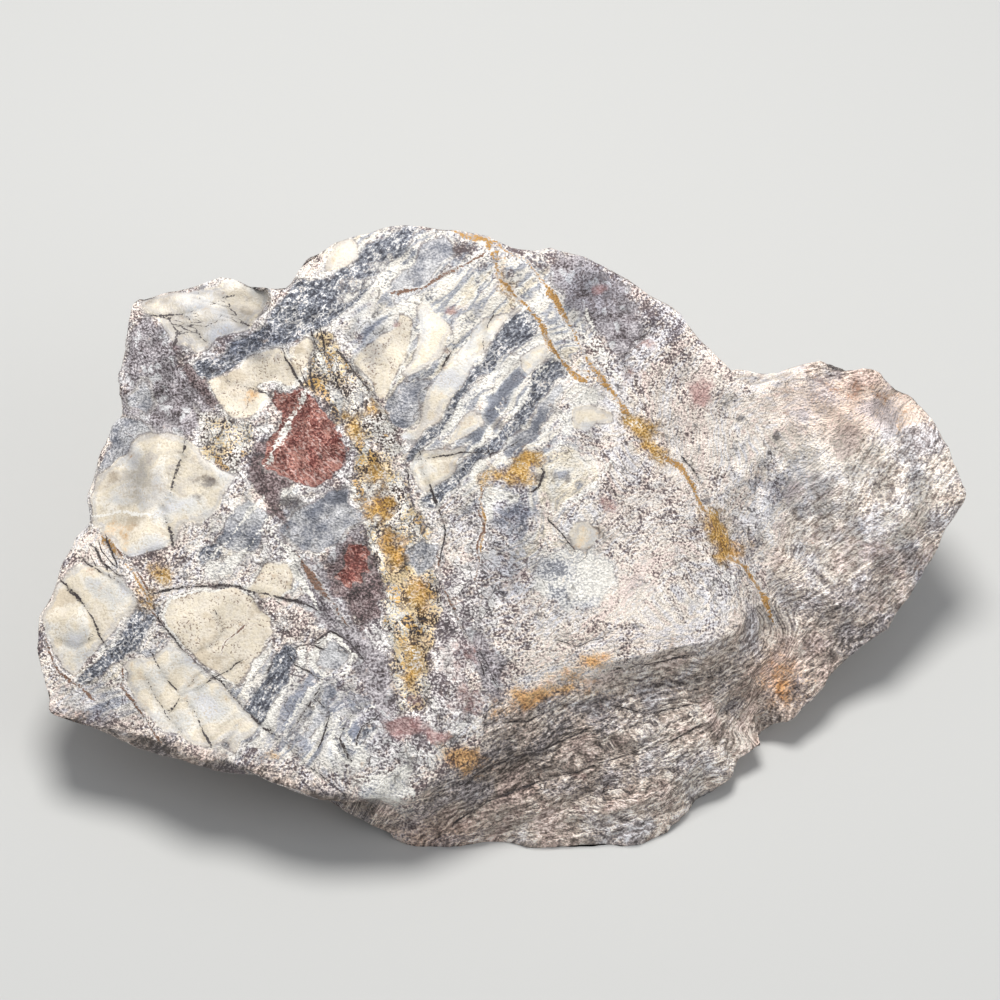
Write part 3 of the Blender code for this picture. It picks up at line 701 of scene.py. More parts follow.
def net_triangles(corners):
    """The corners joined in triangles as the heart sees them: the hull of their directions."""
    net = bmesh.new()
    for corner in corners:
        net.verts.new((Vector(corner) - Vector(HEART)).normalized())
    net.verts.index_update()
    numbered = {vertex: number for number, vertex in enumerate(net.verts)}
    bmesh.ops.convex_hull(net, input=net.verts)
    triangles = np.array([[numbered[vertex] for vertex in face.verts] for face in net.faces])
    net.free()
    return np.array(corners, float)[triangles] - HEART


def reach_of(directions, triangles):
    """How far the net of corners lies from the heart in each direction.
    A direction is a weighted sum of a triangle's three corners. The triangle whose smallest weight is the
    largest holds it, and the weights sum to one over the distance."""
    best = np.full(len(directions), -np.inf)
    reach = np.zeros(len(directions))
    for triangle in triangles:
        weights = directions @ np.linalg.inv(triangle)
        lowest = weights.min(axis=1)
        better = lowest > best
        reach[better] = 1 / weights[better].sum(axis=1)
        best[better] = lowest[better]
    return reach


def neighbour_pairs(faces):
    """Every edge of the grid once, as the two points at its ends."""
    ends = np.concatenate([faces[:, [side, (side + 1) % 4]] for side in range(4)])
    return np.unique(np.sort(ends, axis=1), axis=0)


def neighbour_mean(values, pairs):
    """The mean of each point's neighbours along the grid's edges."""
    ends = np.concatenate([pairs, pairs[:, ::-1]])
    count = np.bincount(ends[:, 0])
    sums = [np.bincount(ends[:, 0], weights=column[ends[:, 1]]) for column in values.T]
    return np.stack(sums, axis=1) / count[:, None]


def outward_normals(points, faces):
    """Unit normals: the cross products of each face's diagonals, summed at its four points."""
    cross = np.cross(points[faces[:, 2]] - points[faces[:, 0]], points[faces[:, 3]] - points[faces[:, 1]])
    sums = [np.bincount(faces.ravel(), weights=np.repeat(column, 4)) for column in cross.T]
    normals = np.stack(sums, axis=1)
    return normals / np.linalg.norm(normals, axis=1, keepdims=True)


def base_skin(quads, passes):
    """The stone's planes and rims, with every crease eased: the heart plus reach times direction."""
    directions, faces = cube_grid(quads)
    directions = (directions + LEAN) * REACH
    directions /= np.linalg.norm(directions, axis=1, keepdims=True)
    points = HEART + directions * reach_of(directions, net_triangles(CORNERS))[:, None]
    pairs = neighbour_pairs(faces)
    for _ in range(passes):
        points += EASING * (neighbour_mean(points, pairs) - points)
    return points, faces, pairs


# ---------------------------------------------------------------- the chart and the markings


def on_chart(points):
    """Where the eye sees each point: its offset to the right and down over its depth, times CHART_ZOOM."""
    offset = points - EYE
    ahead = np.array((0.0, cos(LOOK_DOWN), -sin(LOOK_DOWN)))
    up = np.array((0.0, sin(LOOK_DOWN), cos(LOOK_DOWN)))
    depth = offset @ ahead
    chart = np.stack([offset[:, 0] / depth, -(offset @ up) / depth], axis=1)
    return CHART_MIDDLE + CHART_ZOOM * chart


def facing(points, normals):
    """1 where the skin looks straight at the eye, 0 where it stands edge on, below 0 where it looks away."""
    sight = EYE - points
    return np.sum(normals * sight, axis=1) / np.linalg.norm(sight, axis=1)


def wandered(chart, points):
    """The chart position moved by smooth noise, so that drawn outlines come out as broken rock edges."""
    coarse = [noise(points / COARSE_WANDER_SIZE, WANDER_SEED + axis) for axis in (0, 1)]
    fine = [noise(points / FINE_WANDER_SIZE, WANDER_SEED + axis) for axis in (5, 6)]
    return chart + COARSE_WANDER * np.stack(coarse, axis=1) + FINE_WANDER * np.stack(fine, axis=1)


def to_segment(chart, start, end):
    """Distance from each position to the straight piece from start to end, and which side of it: 1 or -1."""
    start, run = np.array(start, float), np.subtract(end, start)
    offset = chart - start
    along = np.clip(offset @ run / (run @ run), 0, 1)
    away = offset - along[:, None] * run
    side = np.where(run[0] * offset[:, 1] - run[1] * offset[:, 0] >= 0, 1.0, -1.0)
    return np.linalg.norm(away, axis=1), side


def depth_inside(chart, outlines, stripes):
    """How deep each position lies inside the nearest outline or stripe, and below 0 how far outside.
    A position is inside an outline when a line from it to the right crosses the outline an odd number of
    times. A stripe is half its width and then the points along its middle."""
    deepest = np.full(len(chart), -FAR_AWAY)
    for half_width, *line in stripes:
        for start, end in zip(line, line[1:]):
            deepest = np.maximum(deepest, half_width - to_segment(chart, start, end)[0])
    x, y = chart.T
    for outline in outlines:
        nearest = np.full(len(chart), np.inf)
        inside = np.zeros(len(chart), bool)
        for start, end in zip(outline, outline[1:] + outline[:1]):
            nearest = np.minimum(nearest, to_segment(chart, start, end)[0])
            if start[1] != end[1]:
                cross_x = start[0] + (y - start[1]) * (end[0] - start[0]) / (end[1] - start[1])
                inside ^= ((start[1] > y) != (end[1] > y)) & (x < cross_x)
        deepest = np.maximum(deepest, np.where(inside, nearest, -nearest))
    return deepest


def from_veins(chart, veins):
    """For each position, across the nearest vein in half widths, with a sign for the side, and its plain
    distance from it. A vein is its half width and then its points."""
    across = np.full(len(chart), FAR_AWAY)
    plain = np.full(len(chart), FAR_AWAY)
    for half_width, *line in veins:
        for start, end in zip(line, line[1:]):
            distance, side = to_segment(chart, start, end)
            closer = distance < plain
            across[closer] = (side * distance / half_width)[closer]
            plain[closer] = distance[closer]
    return across, plain


def blots(chart, spots):
    """The sum of the spots at each position: their strengths, each fading out as a bell over its radii."""
    total = np.zeros(len(chart))
    for x, y, wide, high, strength in spots:
        reach = ((chart[:, 0] - x) / wide) ** 2 + ((chart[:, 1] - y) / high) ** 2
        total += strength * np.exp(-reach)
    return total


def marking_fields(points, normals):
    """Every field that the material reads, by name. Away from the eye the markings fade out."""
    chart = on_chart(points)
    loose = wandered(chart, points)
    unseen = share(facing(points, normals), SEEN, UNSEEN)
    seen, hidden = 1 - unseen, FAR_AWAY * unseen
    fields = {name: depth_inside(loose, outlines, STRIPES.get(name, ())) - hidden
              for name, outlines in PATCHES.items()}
    for name, veins in VEINS.items():
        across, plain = from_veins(chart + VEIN_WANDER * (loose - chart), veins)
        fields[name + "_across"], fields[name + "_off"] = across, plain + hidden
    for name, spots in SPOTS.items():
        fields[name] = blots(loose, spots) * seen
    fields["seen"] = seen
    fields["way"] = grain_way(chart, points, seen)
    return fields


# ---------------------------------------------------------------- relief


def grain_way(chart, points, seen):
    """Where each point lies across and along the grain of the rock, in millimetres, the second shortened.
    Beside a grain line the first grows with the plain distance from it. In between, the lines' values are
    averaged with the inverse fourth power of their distances. Out of the eye's sight the layers are flat."""
    normal, run = (sin(GRAIN_LEAN), cos(GRAIN_LEAN)), (cos(GRAIN_LEAN), -sin(GRAIN_LEAN))
    total, weights = np.zeros(len(chart)), np.zeros(len(chart))
    for line in GRAIN_LINES:
        nearest = np.full(len(chart), np.inf)
        beside = np.zeros(len(chart))
        for start, end in zip(line, line[1:]):
            distance = to_segment(chart, start, end)[0]
            pace = np.subtract(end, start) / np.linalg.norm(np.subtract(end, start))
            offset = chart - start
            closer = distance < nearest
            beside[closer] = (pace[0] * offset[:, 1] - pace[1] * offset[:, 0])[closer]
            nearest[closer] = distance[closer]
        weight = (nearest**2 + GRAIN_REACH**2) ** -2.0
        total += weight * (np.mean(line, axis=0) @ normal + beside)
        weights += weight
    drawn = np.stack([total / weights, chart @ run / GRAIN_STRETCH, np.zeros(len(chart))], axis=1)
    level = points[:, :2] / GRAIN_STRETCH
    flat = np.column_stack([points @ LAYER_NORMAL, level])
    wander = [GRAIN_WANDER * noise(points / GRAIN_WANDER_SIZE, WANDER_SEED + axis) for axis in (8, 9)]
    way = np.where(seen[:, None] > 0.5, drawn * CHART_STEP, flat)
    way[:, 0] += wander[0] + GRAIN_FRAY * noise(points / GRAIN_FRAY_SIZE, GRAIN_FRAY_SEED)
    way[:, 1] += wander[1] / GRAIN_STRETCH
    return way


def fine_relief(points, fields, curve):
    """What the skin adds to the relief of the solid: small lumps and fracture facets, thin scaly ledges where
    the rock is layered, chips along the rims, sunk cracks and weak bands, and rough hollows on the back."""
    layered = np.clip(share(fields["brushed"], -25, 25) + (1 - fields["seen"]), 0, 1)
    smooth = np.maximum(share(fields["cream"], *SMOOTH_EDGE), share(fields["tan"], *SMOOTH_EDGE))
    smooth = np.maximum(smooth, 0.6 * share(fields["white"], *SMOOTH_EDGE))
    broken = np.clip(0.35 + fields["shattered"] + 0.5 * share(fields["mauve"], -6, 6), 0, 1.2)
    rough = (1 - 0.85 * smooth) * (1 - 0.6 * layered) * broken
    heights = lumpy(points, *SOFT_LUMPS)
    heights += rough * sum(lumpy(points, *kind) for kind in BROKEN_LUMPS)
    heights += rough * dished(points, *BROKEN_DISHES)
    heights += (1 - layered) * (ROUGH_BROAD + SMOOTH_BROAD * smooth) * dished(points, *BROAD_DISHES)
    for size, height, seed in THIN_LAYERS:
        ledge = 1 - 2 * np.abs(noise(fields["way"] / size, seed))
        heights += height * layered * (1 + LAYER_FRONT * fields["front"]) * (ledge - LAYER_MEAN)
    heights += back_share(points) * dished(points, *BACK_DISHES)
    size, depth, seed = CHIPS
    chips = np.clip(noise(points / size, seed) + CHIP_SHARE, 0, 1)
    heights -= depth * share(curve, *RIM_CURVE) * chips
    for name, sunk in SUNK_PATCHES.items():
        heights -= sunk * share(fields[name], *PATCH_EDGE)
    heights -= CRACK_DEPTH * np.exp(-((fields["dark_vein_off"] / CRACK_REACH) ** 2))
    return heights


def hollowness(points, faces, pairs):
    """How far each point stands out from its smoothed surroundings, near and wide, over the usual amount:
    below 0 in cracks and hollows, above 0 on edges, and within 1 either way."""
    normals = outward_normals(points, faces)
    level = points
    total = np.zeros(len(points))
    for passes in HOLLOW_PASSES:
        for _ in range(passes):
            level = neighbour_mean(level, pairs)
        rise = np.sum((points - level) * normals, axis=1)
        total += np.clip(rise / (2 * rise.std()), -1, 1) / len(HOLLOW_PASSES)
    return total


def skin_points(sizes):
    """The finished skin in the drawing, its faces and its marking fields."""
    points, faces, pairs = base_skin(sizes.grid_quads, sizes.easing_passes)
    normals = outward_normals(points, faces)
    curve = np.sum((points - neighbour_mean(points, pairs)) * normals, axis=1)
    for _ in range(2):
        curve = neighbour_mean(curve[:, None], pairs)[:, 0]
    fields = marking_fields(points, normals)
    height = relief(points) + sizes.fine_relief * fine_relief(points, fields, curve)
    shaped = points + normals * height[:, None]
    ground = np.minimum(points[:, 2], shaped[:, 2]) < REST_BAND
    shaped[ground, 2] = 0.0
    # how far each point stands out, which the material turns into painted shade in hollows and painted
    # highlights on edges
    fields["hollow"] = hollowness(shaped, faces, pairs)
    return shaped, faces, fields


def fit_into(points, low, high):
    """The points moved and stretched a hair, so that they fill the box of the solid and don't leave it."""
    least, most = points.min(axis=0), points.max(axis=0)
    return low + (points - least) * (high - low) / (most - least)


# ---------------------------------------------------------------- the stone's finish

STIR_ROUGHNESS = 0.66
SPLINTER_SIZE, SPLINTER_WAY = 1.6, (0.35, -0.85, -0.38)  # in millimetres, and the direction they lie in
# What the way across and along the grain is multiplied by: a larger number makes the pattern finer there.
STREAK_TIMES, SCRATCH_TIMES = (1.2, 2.4, 1.0), (0.5, 6.0, 1.0)
HUE_SHARE = 0.9  # how strongly the faint tints are laid over the rock
GROUND_TONE, BRUSHED_TONE = 0.020, 0.026  # how far one unit of tone moves the pattern up its ramp


def opaque(colour):
    return (*colour, 1.0)


class Bench:
    """Puts shader nodes into one material and joins them up. A value is a socket, a number or a colour."""

    def __init__(self, material):
        material.use_nodes = True
        self.tree = material.node_tree
        self.principled = self.tree.nodes["Principled BSDF"]

    def put(self, kind, **settings):
        node = self.tree.nodes.new("ShaderNode" + kind)
        for name, value in settings.items():
            setattr(node, name, value)
        return node

    def feed(self, socket, value):
        if isinstance(value, bpy.types.NodeSocket):
            self.tree.links.new(value, socket)
        else:
            socket.default_value = opaque(value) if socket.type == "RGBA" else value

    def feed_all(self, node, values):
        for name, value in values.items():
            self.feed(node.inputs[name], value)

    def math(self, operation, first, second=0.0, third=0.0, clamp=False):
        node = self.put("Math", operation=operation, use_clamp=clamp)
        for socket, value in zip(node.inputs, (first, second, third)):
            self.feed(socket, value)
        return node.outputs[0]

    def times(self, first, second):
        return self.math("MULTIPLY", first, second)

    def times_plus(self, first, second, third):
        """First times second, plus third."""
        return self.math("MULTIPLY_ADD", first, second, third)

    def less(self, first, second):
        return self.math("SUBTRACT", first, second)

    def most(self, first, second):
        return self.math("MAXIMUM", first, second)

    def away(self, value, middle=None):
        """How far the value lies from the middle, or from nought."""
        return self.math("ABSOLUTE", value if middle is None else self.less(value, middle))

    def blend(self, first, share_of_first, second):
        """Two patterns added up, the first with its share and the second with the rest."""
        return self.times_plus(first, share_of_first, self.times(second, 1 - share_of_first))

    def vector(self, operation, first, second=(0.0, 0.0, 0.0), scale=1.0):
        node = self.put("VectorMath", operation=operation)
        self.feed_all(node, {0: first, 1: second, 3: scale})
        return node.outputs["Value" if operation == "DOT_PRODUCT" else "Vector"]

    def noise(self, points, size, detail, roughness=0.5, whole=False):
        node = self.put("TexNoise")
        self.feed_all(node, {"Vector": points, "Scale": 1 / size, "Detail": detail, "Roughness": roughness})
        return node.outputs["Color" if whole else "Fac"]

    def cells(self, points, size, feature, output):
        node = self.put("TexVoronoi", feature=feature)
        self.feed_all(node, {"Vector": points, "Scale": 1 / size})
        return node.outputs[output]

    def step(self, value, low, high, start=0.0, end=1.0):
        """start below low, end above high, and a smooth climb between them."""
        node = self.put("MapRange", interpolation_type="SMOOTHSTEP")
        self.feed_all(node, {
            "Value": value, "From Min": low, "From Max": high, "To Min": start, "To Max": end})
        return node.outputs[0]

    def mix(self, share_of_second, first, second, mode="MIX"):
        node = self.put("Mix", data_type="RGBA", blend_type=mode)
        self.feed_all(node, {0: share_of_second, 6: first, 7: second})
        return node.outputs[2]

    def ramp(self, value, *stops):
        """A run of colours, each given after its place from 0 to 1."""
        node = self.put("ValToRGB")
        self.feed(node.inputs[0], value)
        elements = node.color_ramp.elements
        while len(elements) < len(stops):
            elements.new(1.0)
        for element, (place, colour) in zip(elements, stops):
            element.position = place
            element.color = opaque(colour)
        return node.outputs[0]

    def field(self, name):
        """The three numbers of one of the skin's attributes."""
        split = self.put("SeparateXYZ")
        self.feed(split.inputs[0], self.put("Attribute", attribute_name=name).outputs["Vector"])
        return split.outputs

    def stirred(self, points, size, amount, detail):
        """The points moved about by smooth noise, which makes straight patterns wander."""
        wobble = self.noise(points, size, detail, STIR_ROUGHNESS, whole=True)
        wobble = self.vector("SUBTRACT", wobble, (0.5, 0.5, 0.5))
        return self.vector("ADD", points, self.vector("SCALE", wobble, scale=amount))

    def drawn_out(self, points, direction, ratio):
        """The points squeezed along a direction, so that a pattern on them is longer there by the ratio."""
        unit = tuple(Vector(direction).normalized())
        pull = self.times(self.vector("DOT_PRODUCT", points, unit), 1 / ratio - 1)
        return self.vector("ADD", points, self.vector("SCALE", unit, scale=pull))


class Patterns:
    """The patterns that the recipes share: each is worked out once and used with other colours and bounds.
    Sizes are in millimetres."""

    def __init__(self, bench):
        self.bench = bench
        here = bench.put("TexCoord").outputs["Object"]
        points = bench.vector("SCALE", here, scale=1 / UNIT)
        way = bench.put("Attribute", attribute_name="grain_way").outputs["Vector"]
        streaky, scratchy = (bench.vector("MULTIPLY", way, times) for times in (STREAK_TIMES, SCRATCH_TIMES))
        stirred = bench.stirred(points, size=4.5, amount=4.0, detail=2.0)
        splintered = bench.drawn_out(stirred, direction=SPLINTER_WAY, ratio=1.8)
        self.cloud = bench.noise(stirred, size=7.0, detail=2.0)
        self.mottle = bench.noise(points, size=2.6, detail=4.0, roughness=0.68)
        self.grain = bench.noise(points, size=0.40, detail=1.0, roughness=0.55)
        self.streak = bench.noise(streaky, size=0.6, detail=2.0, roughness=0.62)
        self.scratch = bench.noise(scratchy, size=0.45, detail=1.0)
        self.band = bench.noise(way, size=5.5, detail=3.0, roughness=0.55)
        self.ragged = bench.less(self.mottle, 0.5)
        self.patchy = bench.blend(self.mottle, 0.6, self.grain)
        self.swirl = bench.math("PINGPONG", self.cloud, 0.020)
        self.ledge = bench.math("PINGPONG", bench.times_plus(self.streak, 0.10, self.band), 0.035)
        splinter = bench.cells(splintered, SPLINTER_SIZE, "F1", "Color")
        self.seam = bench.cells(splintered, SPLINTER_SIZE, "DISTANCE_TO_EDGE", "Distance")
        self.own = bench.vector("DOT_PRODUCT", splinter, (1.0, 0.0, 0.0))
        self.other = bench.vector("DOT_PRODUCT", splinter, (0.0, 1.0, 0.0))

    def strayed(self, value, stray):
        """A field or a pattern whose bounds stray raggedly, by up to about half of stray."""
        return self.bench.times_plus(self.ragged, stray, value)

    def gaps(self, wide, narrow, pattern, low, high, most):
        """Lines along the seams between the splinters, broken up by a pattern."""
        return self.bench.times(self.bench.step(self.seam, wide, narrow),
                                self.bench.step(pattern, low, high, 0.0, most))


# In the recipes, c holds the colours, at the shared patterns, and depth the skin's fields by name.


def tinted(bench, c, base, warmth):
    """The colour turned pinker where warmth is above nought, and bluer where it is below."""
    base = bench.mix(bench.step(warmth, 0.0, 1.0), base, c.pink_tint, "MULTIPLY")
    return bench.mix(bench.step(warmth, 0.0, -1.0), base, c.cool_tint, "MULTIPLY")


def hued(bench, c, base, pattern):
    """The colour faintly tinted, from bluish through white and cream to pink as the pattern rises."""
    hue = bench.ramp(pattern, (0.42, c.cool_tint), (0.47, c.pale_tint), (0.52, c.warm_tint),
                     (0.58, c.pink_tint))
    return bench.mix(HUE_SHARE, base, hue, "MULTIPLY")


def fragments(bench, c, at):
    """Rock shattered into small splinters of grey, tan and white, with thin dark gaps between them."""
    base = bench.ramp(bench.blend(at.own, 0.12, at.patchy), (0.41, c.speck), (0.445, c.mauve_dark),
                      (0.475, c.mauve), (0.495, c.ground_light), (0.52, c.mauve_light), (0.55, c.ground_pale))
    return bench.mix(at.gaps(0.05, 0.012, at.mottle, 0.46, 0.53, 0.8), base, c.crack)


def groundmass(bench, c, at, depth):
    """The body of the broad face: speckled grains, which give way to wandering bands of slate, grey, white
    and cream, and to shattered rock. Tone makes it paler or darker in places, and warmth pinker."""
    speckle = bench.blend(at.cloud, 0.24, bench.blend(at.grain, 0.50, at.mottle))
    speckle = bench.times_plus(depth["tone"], GROUND_TONE, speckle)
    speckled = bench.ramp(speckle, (0.415, c.speck), (0.44, c.ground_dark), (0.465, c.ground_mid),
                          (0.487, c.ground_light), (0.508, c.ground_pale))
    speckled = hued(bench, c, speckled, bench.blend(at.band, 0.5, at.streak))
    crackle = bench.step(bench.math("PINGPONG", at.mottle, 0.032), 0.009, 0.001)
    crackle = bench.times(crackle, bench.step(at.grain, 0.43, 0.55, 0.1, 0.7))
    speckled = bench.mix(crackle, speckled, c.mauve_dark)
    banded = bench.ramp(at.strayed(at.band, 0.20), (0.33, c.slate), (0.38, c.slate_light), (0.42, c.white),
                        (0.47, c.cream), (0.50, c.blue), (0.525, c.slate_light), (0.55, c.white),
                        (0.60, c.cream_warm), (0.64, c.blue_dark), (0.68, c.white))
    banded = bench.mix(bench.step(speckle, 0.45, 0.38, 0.0, 0.75), banded, c.slate)
    base = bench.mix(bench.step(at.strayed(depth["banded"], 2.4), 0.25, 0.70), speckled, banded)
    shattered = bench.step(at.strayed(depth["shattered"], 3.6), 0.35, 0.75)
    base = bench.mix(shattered, base, fragments(bench, c, at))
    return tinted(bench, c, base, depth["warmth"])


def mauve_rock(bench, c, at):
    """Mauve-grey rock, mottled darker, with pale splinters caught in it."""
    base = bench.ramp(at.patchy, (0.37, c.crack), (0.43, c.mauve_dark), (0.50, c.mauve),
                      (0.58, c.mauve_light))
    pale = bench.times(bench.step(at.own, 0.70, 0.76), bench.step(at.seam, 0.03, 0.10))
    pale = bench.times(pale, bench.step(at.mottle, 0.42, 0.54))
    base = bench.mix(pale, base, c.blue_light)
    return bench.mix(at.gaps(0.06, 0.015, at.cloud, 0.44, 0.54, 0.6), base, c.mauve_dark)


def slate_rock(bench, c, at):
    """Dark blue-grey slate, mottled and a little streaked, with white flecks and crackled white veinlets."""
    base = bench.ramp(bench.blend(at.streak, 0.45, at.patchy), (0.43, c.slate_dark), (0.48, c.slate),
                      (0.53, c.slate_light), (0.58, c.ground_pale))
    return bench.mix(at.gaps(0.06, 0.02, at.cloud, 0.47, 0.55, 0.6), base, c.ground_pale)


def blue_rock(bench, c, at):
    """Pale blue-grey porcelain with fine wavy lines, darker in places."""
    tone = bench.blend(at.cloud, 0.45, bench.blend(at.mottle, 0.7, at.grain))
    base = bench.ramp(tone, (0.40, c.slate), (0.45, c.blue_dark), (0.49, c.blue), (0.54, c.blue_light))
    return bench.mix(bench.step(at.swirl, 0.005, 0.001, 0.0, 0.5), base, c.slate)


def tan_rock(bench, c, at):
    """Tan porcelain with soft swirls, and small brown specks."""
    base = bench.ramp(bench.blend(at.cloud, 0.6, at.mottle), (0.40, c.tan_dark), (0.47, c.tan),
                      (0.50, c.cream_warm), (0.55, c.tan), (0.62, c.tan_dark))
    base = bench.mix(bench.step(at.swirl, 0.006, 0.001, 0.0, 0.35), base, c.tan_dark)
    speck = bench.times(bench.step(at.grain, 0.41, 0.36), bench.step(at.mottle, 0.48, 0.54, 0.1, 0.8))
    return bench.mix(speck, base, c.brown_vein)


def cream_rock(bench, c, at):
    """Cream porcelain: soft clouds of warm and cool white, with hair lines and small tan specks."""
    base = bench.ramp(bench.blend(at.cloud, 0.7, at.mottle), (0.34, c.blue_light), (0.41, c.cream_cool),
                      (0.46, c.cream), (0.51, c.cream_warm), (0.57, c.tan), (0.63, c.tan_dark))
    base = bench.mix(bench.step(at.swirl, 0.004, 0.0005, 0.0, 0.4), base, c.tan_dark)
    speck = bench.step(bench.blend(at.grain, 0.6, at.mottle), 0.43, 0.38, 0.0, 0.7)
    return bench.mix(speck, base, c.tan_dark)


def red_rock(bench, c, at):
    """Red jasper, mottled darker, scratched with many short pale lines."""
    base = bench.ramp(at.patchy, (0.43, c.red_dark), (0.50, c.red), (0.57, c.red_light))
    scratch = bench.times(bench.step(at.scratch, 0.55, 0.61), bench.step(at.mottle, 0.44, 0.50, 0.1, 0.9))
    return bench.mix(scratch, base, c.red_pale)


def maroon_rock(bench, c, at):
    """Greyish maroon jasper with pale grains."""
    return bench.ramp(at.patchy, (0.40, c.crack), (0.46, c.maroon_dark), (0.52, c.maroon),
                      (0.60, c.maroon_light))


def ochre_rock(bench, c, at):
    """Grainy yellow ochre, browner in places."""
    tone = bench.blend(at.cloud, 0.3, bench.blend(at.grain, 0.5, at.mottle))
    return bench.ramp(tone, (0.38, c.brown_vein), (0.44, c.ochre_dark), (0.51, c.ochre),
                      (0.57, c.ochre_light), (0.62, c.ground_pale))


def breccia_rock(bench, c, at):
    """Small broken splinters of white, grey and tan rock, some dusted with ochre, crossed by dark gaps."""
    tone = bench.blend(at.own, 0.14, bench.blend(at.mottle, 0.45, at.grain))
    base = bench.ramp(tone, (0.39, c.crack), (0.42, c.breccia_dark), (0.445, c.breccia_brown),
                      (0.475, c.ground_light), (0.51, c.white))
    dusted = bench.step(bench.blend(at.cloud, 0.6, at.grain), 0.50, 0.56, 0.0, 0.7)
    base = bench.mix(dusted, base, c.breccia_ochre, "MULTIPLY")
    bright = bench.times(bench.step(at.other, 0.84, 0.88), bench.step(at.grain, 0.46, 0.54, 0.0, 0.8))
    base = bench.mix(bright, base, c.ochre)
    return bench.mix(at.gaps(0.06, 0.012, at.mottle, 0.46, 0.53, 0.8), base, c.crack)


def white_rock(bench, c, at):
    """White porcelain with faint blue-grey clouds."""
    return bench.ramp(bench.blend(at.cloud, 0.4, at.patchy), (0.41, c.blue_dark), (0.45, c.blue_light),
                      (0.48, c.white_dull), (0.52, c.white))


def brushed_rock(bench, c, at, depth):
    """Finely layered rock that broke along its grain: fine flakes, layer over layer in pinkish, tan and
    bluish grey, with thin dark gaps along the layers."""
    tone = bench.blend(at.streak, 0.55, bench.blend(at.grain, 0.7, at.mottle))
    tone = bench.times_plus(depth["tone"], BRUSHED_TONE, bench.blend(at.band, 0.20, tone))
    # The palest stop, ground pale, is partly the flakes' own pale colour and partly painted glints on them.
    base = bench.ramp(tone, (0.41, c.brushed_dark), (0.455, c.brushed), (0.495, c.brushed_pink),
                      (0.53, c.brushed_light), (0.57, c.ground_pale))
    base = hued(bench, c, base, bench.blend(at.cloud, 0.5, bench.blend(at.band, 0.5, at.grain)))
    line = bench.times(bench.step(at.ledge, 0.007, 0.001), bench.step(at.mottle, 0.43, 0.52, 0.0, 0.85))
    line = bench.times(line, bench.math("MULTIPLY_ADD", depth["front"], 0.6, 0.4, clamp=True))
    return tinted(bench, c, bench.mix(line, base, c.crack), depth["warmth"])


# Each kind of rock in a patch, how far its edge strays, how softly it ends, and how white its outline is.
ROCKS = (
    ("mauve", mauve_rock, 34.0, 4.0, 0.0), ("breccia", breccia_rock, 34.0, 4.0, 0.0),
    ("blue", blue_rock, 13.0, 1.5, 0.5), ("slate", slate_rock, 13.0, 1.5, 0.7),
    ("tan", tan_rock, 10.0, 1.5, 1.0), ("white", white_rock, 36.0, 4.0, 0.0),
    ("cream", cream_rock, 9.0, 0.8, 0.3), ("maroon", maroon_rock, 34.0, 2.5, 0.0),
    ("red", red_rock, 16.0, 0.8, 0.2), ("ochre", ochre_rock, 44.0, 7.0, 0.0),
)
LAYERED_STRAY, LAYERED_SOFT = 64.0, 9.0  # the same for the rock that broke along its layers
HIDDEN_LAYERED = 0.85  # how layered the rock looks out of the eye's sight
CREAM_RIM, CREAM_RIM_WIDE, CREAM_RIM_STRAY = 3.0, 4.0, 18.0  # the blue-grey line just inside the cream
# Where each blotch starts, and how strongly each tint is laid over the rock.
BLOTCHES = {"rose": 0.2, "dark_spot": 0.3}
TINTS = {"stain": 0.9, "smudge": 0.7}
# Each kind of vein, its colour, how many half widths it reaches, and how pale the rock beside it is.
VEIN_LOOKS = (("pale_vein", "white", 1.5, 0.0), ("warm_vein", "ochre_vein", 1.7, 0.5),
              ("brown_vein", "brown_vein", 1.2, 0.35), ("dark_vein", "crack", 0.9, 0.0))
VEIN_STRAY = 5.0  # half widths
PAINTED_HOLLOW_SHADE, PAINTED_EDGE_LIGHT = 0.70, 1.22  # painted shade in hollows and painted highlight on edges: what the colour is multiplied by there
ROUGHNESS, GRAIN_ROUGHNESS = 0.46, 0.3  # everywhere, and what the grains add
SMOOTH_GLOSS, GLOSS = 0.14, 0.45  # what smooth rock takes from the roughness, and the specular level
BUMP_STRENGTH, SMOOTH_BUMP_LOSS = 0.8, 0.6  # the bump, and what smooth rock takes from it
BUMP_HEIGHT = 0.5  # millimetres


def with_patches(bench, c, at, depth, colour):
    """The colour with every patch laid over it: a pale halo, the rock and a thin broken dark outline."""
    for name, recipe, stray, soft, outline in ROCKS:
        edge = at.strayed(depth[name], stray)
        if outline:
            halo = bench.times(bench.step(edge, -4.5, -1.0),
                               bench.step(at.cloud, 0.42, 0.54, 0.15 * outline, outline))
            colour = bench.mix(halo, colour, c.white)
        colour = bench.mix(bench.step(edge, -soft, soft), colour, recipe(bench, c, at))
        line = bench.times(bench.step(bench.away(edge), 1.6, 0.3),
                           bench.step(at.mottle, 0.46, 0.52, 0.0, 0.6))
        colour = bench.mix(line, colour, c.speck)
    rim = bench.away(at.strayed(depth["cream"], CREAM_RIM_STRAY), CREAM_RIM)
    return bench.mix(bench.step(rim, CREAM_RIM_WIDE, 0.0, 0.0, 0.5), colour, c.blue)


def with_cracks(bench, c, at, plain, colour):
    """The colour with fine dark cracks where the clouds cross their middle, fewer where the rock is plain."""
    crack = bench.step(bench.away(at.strayed(at.cloud, 0.12), 0.5), 0.010, 0.003)
    crack = bench.times(crack, bench.step(at.mottle, 0.48, 0.53, 0.0, 0.8))
    return bench.mix(bench.times(crack, bench.times_plus(plain, -0.7, 0.8)), colour, c.crack)


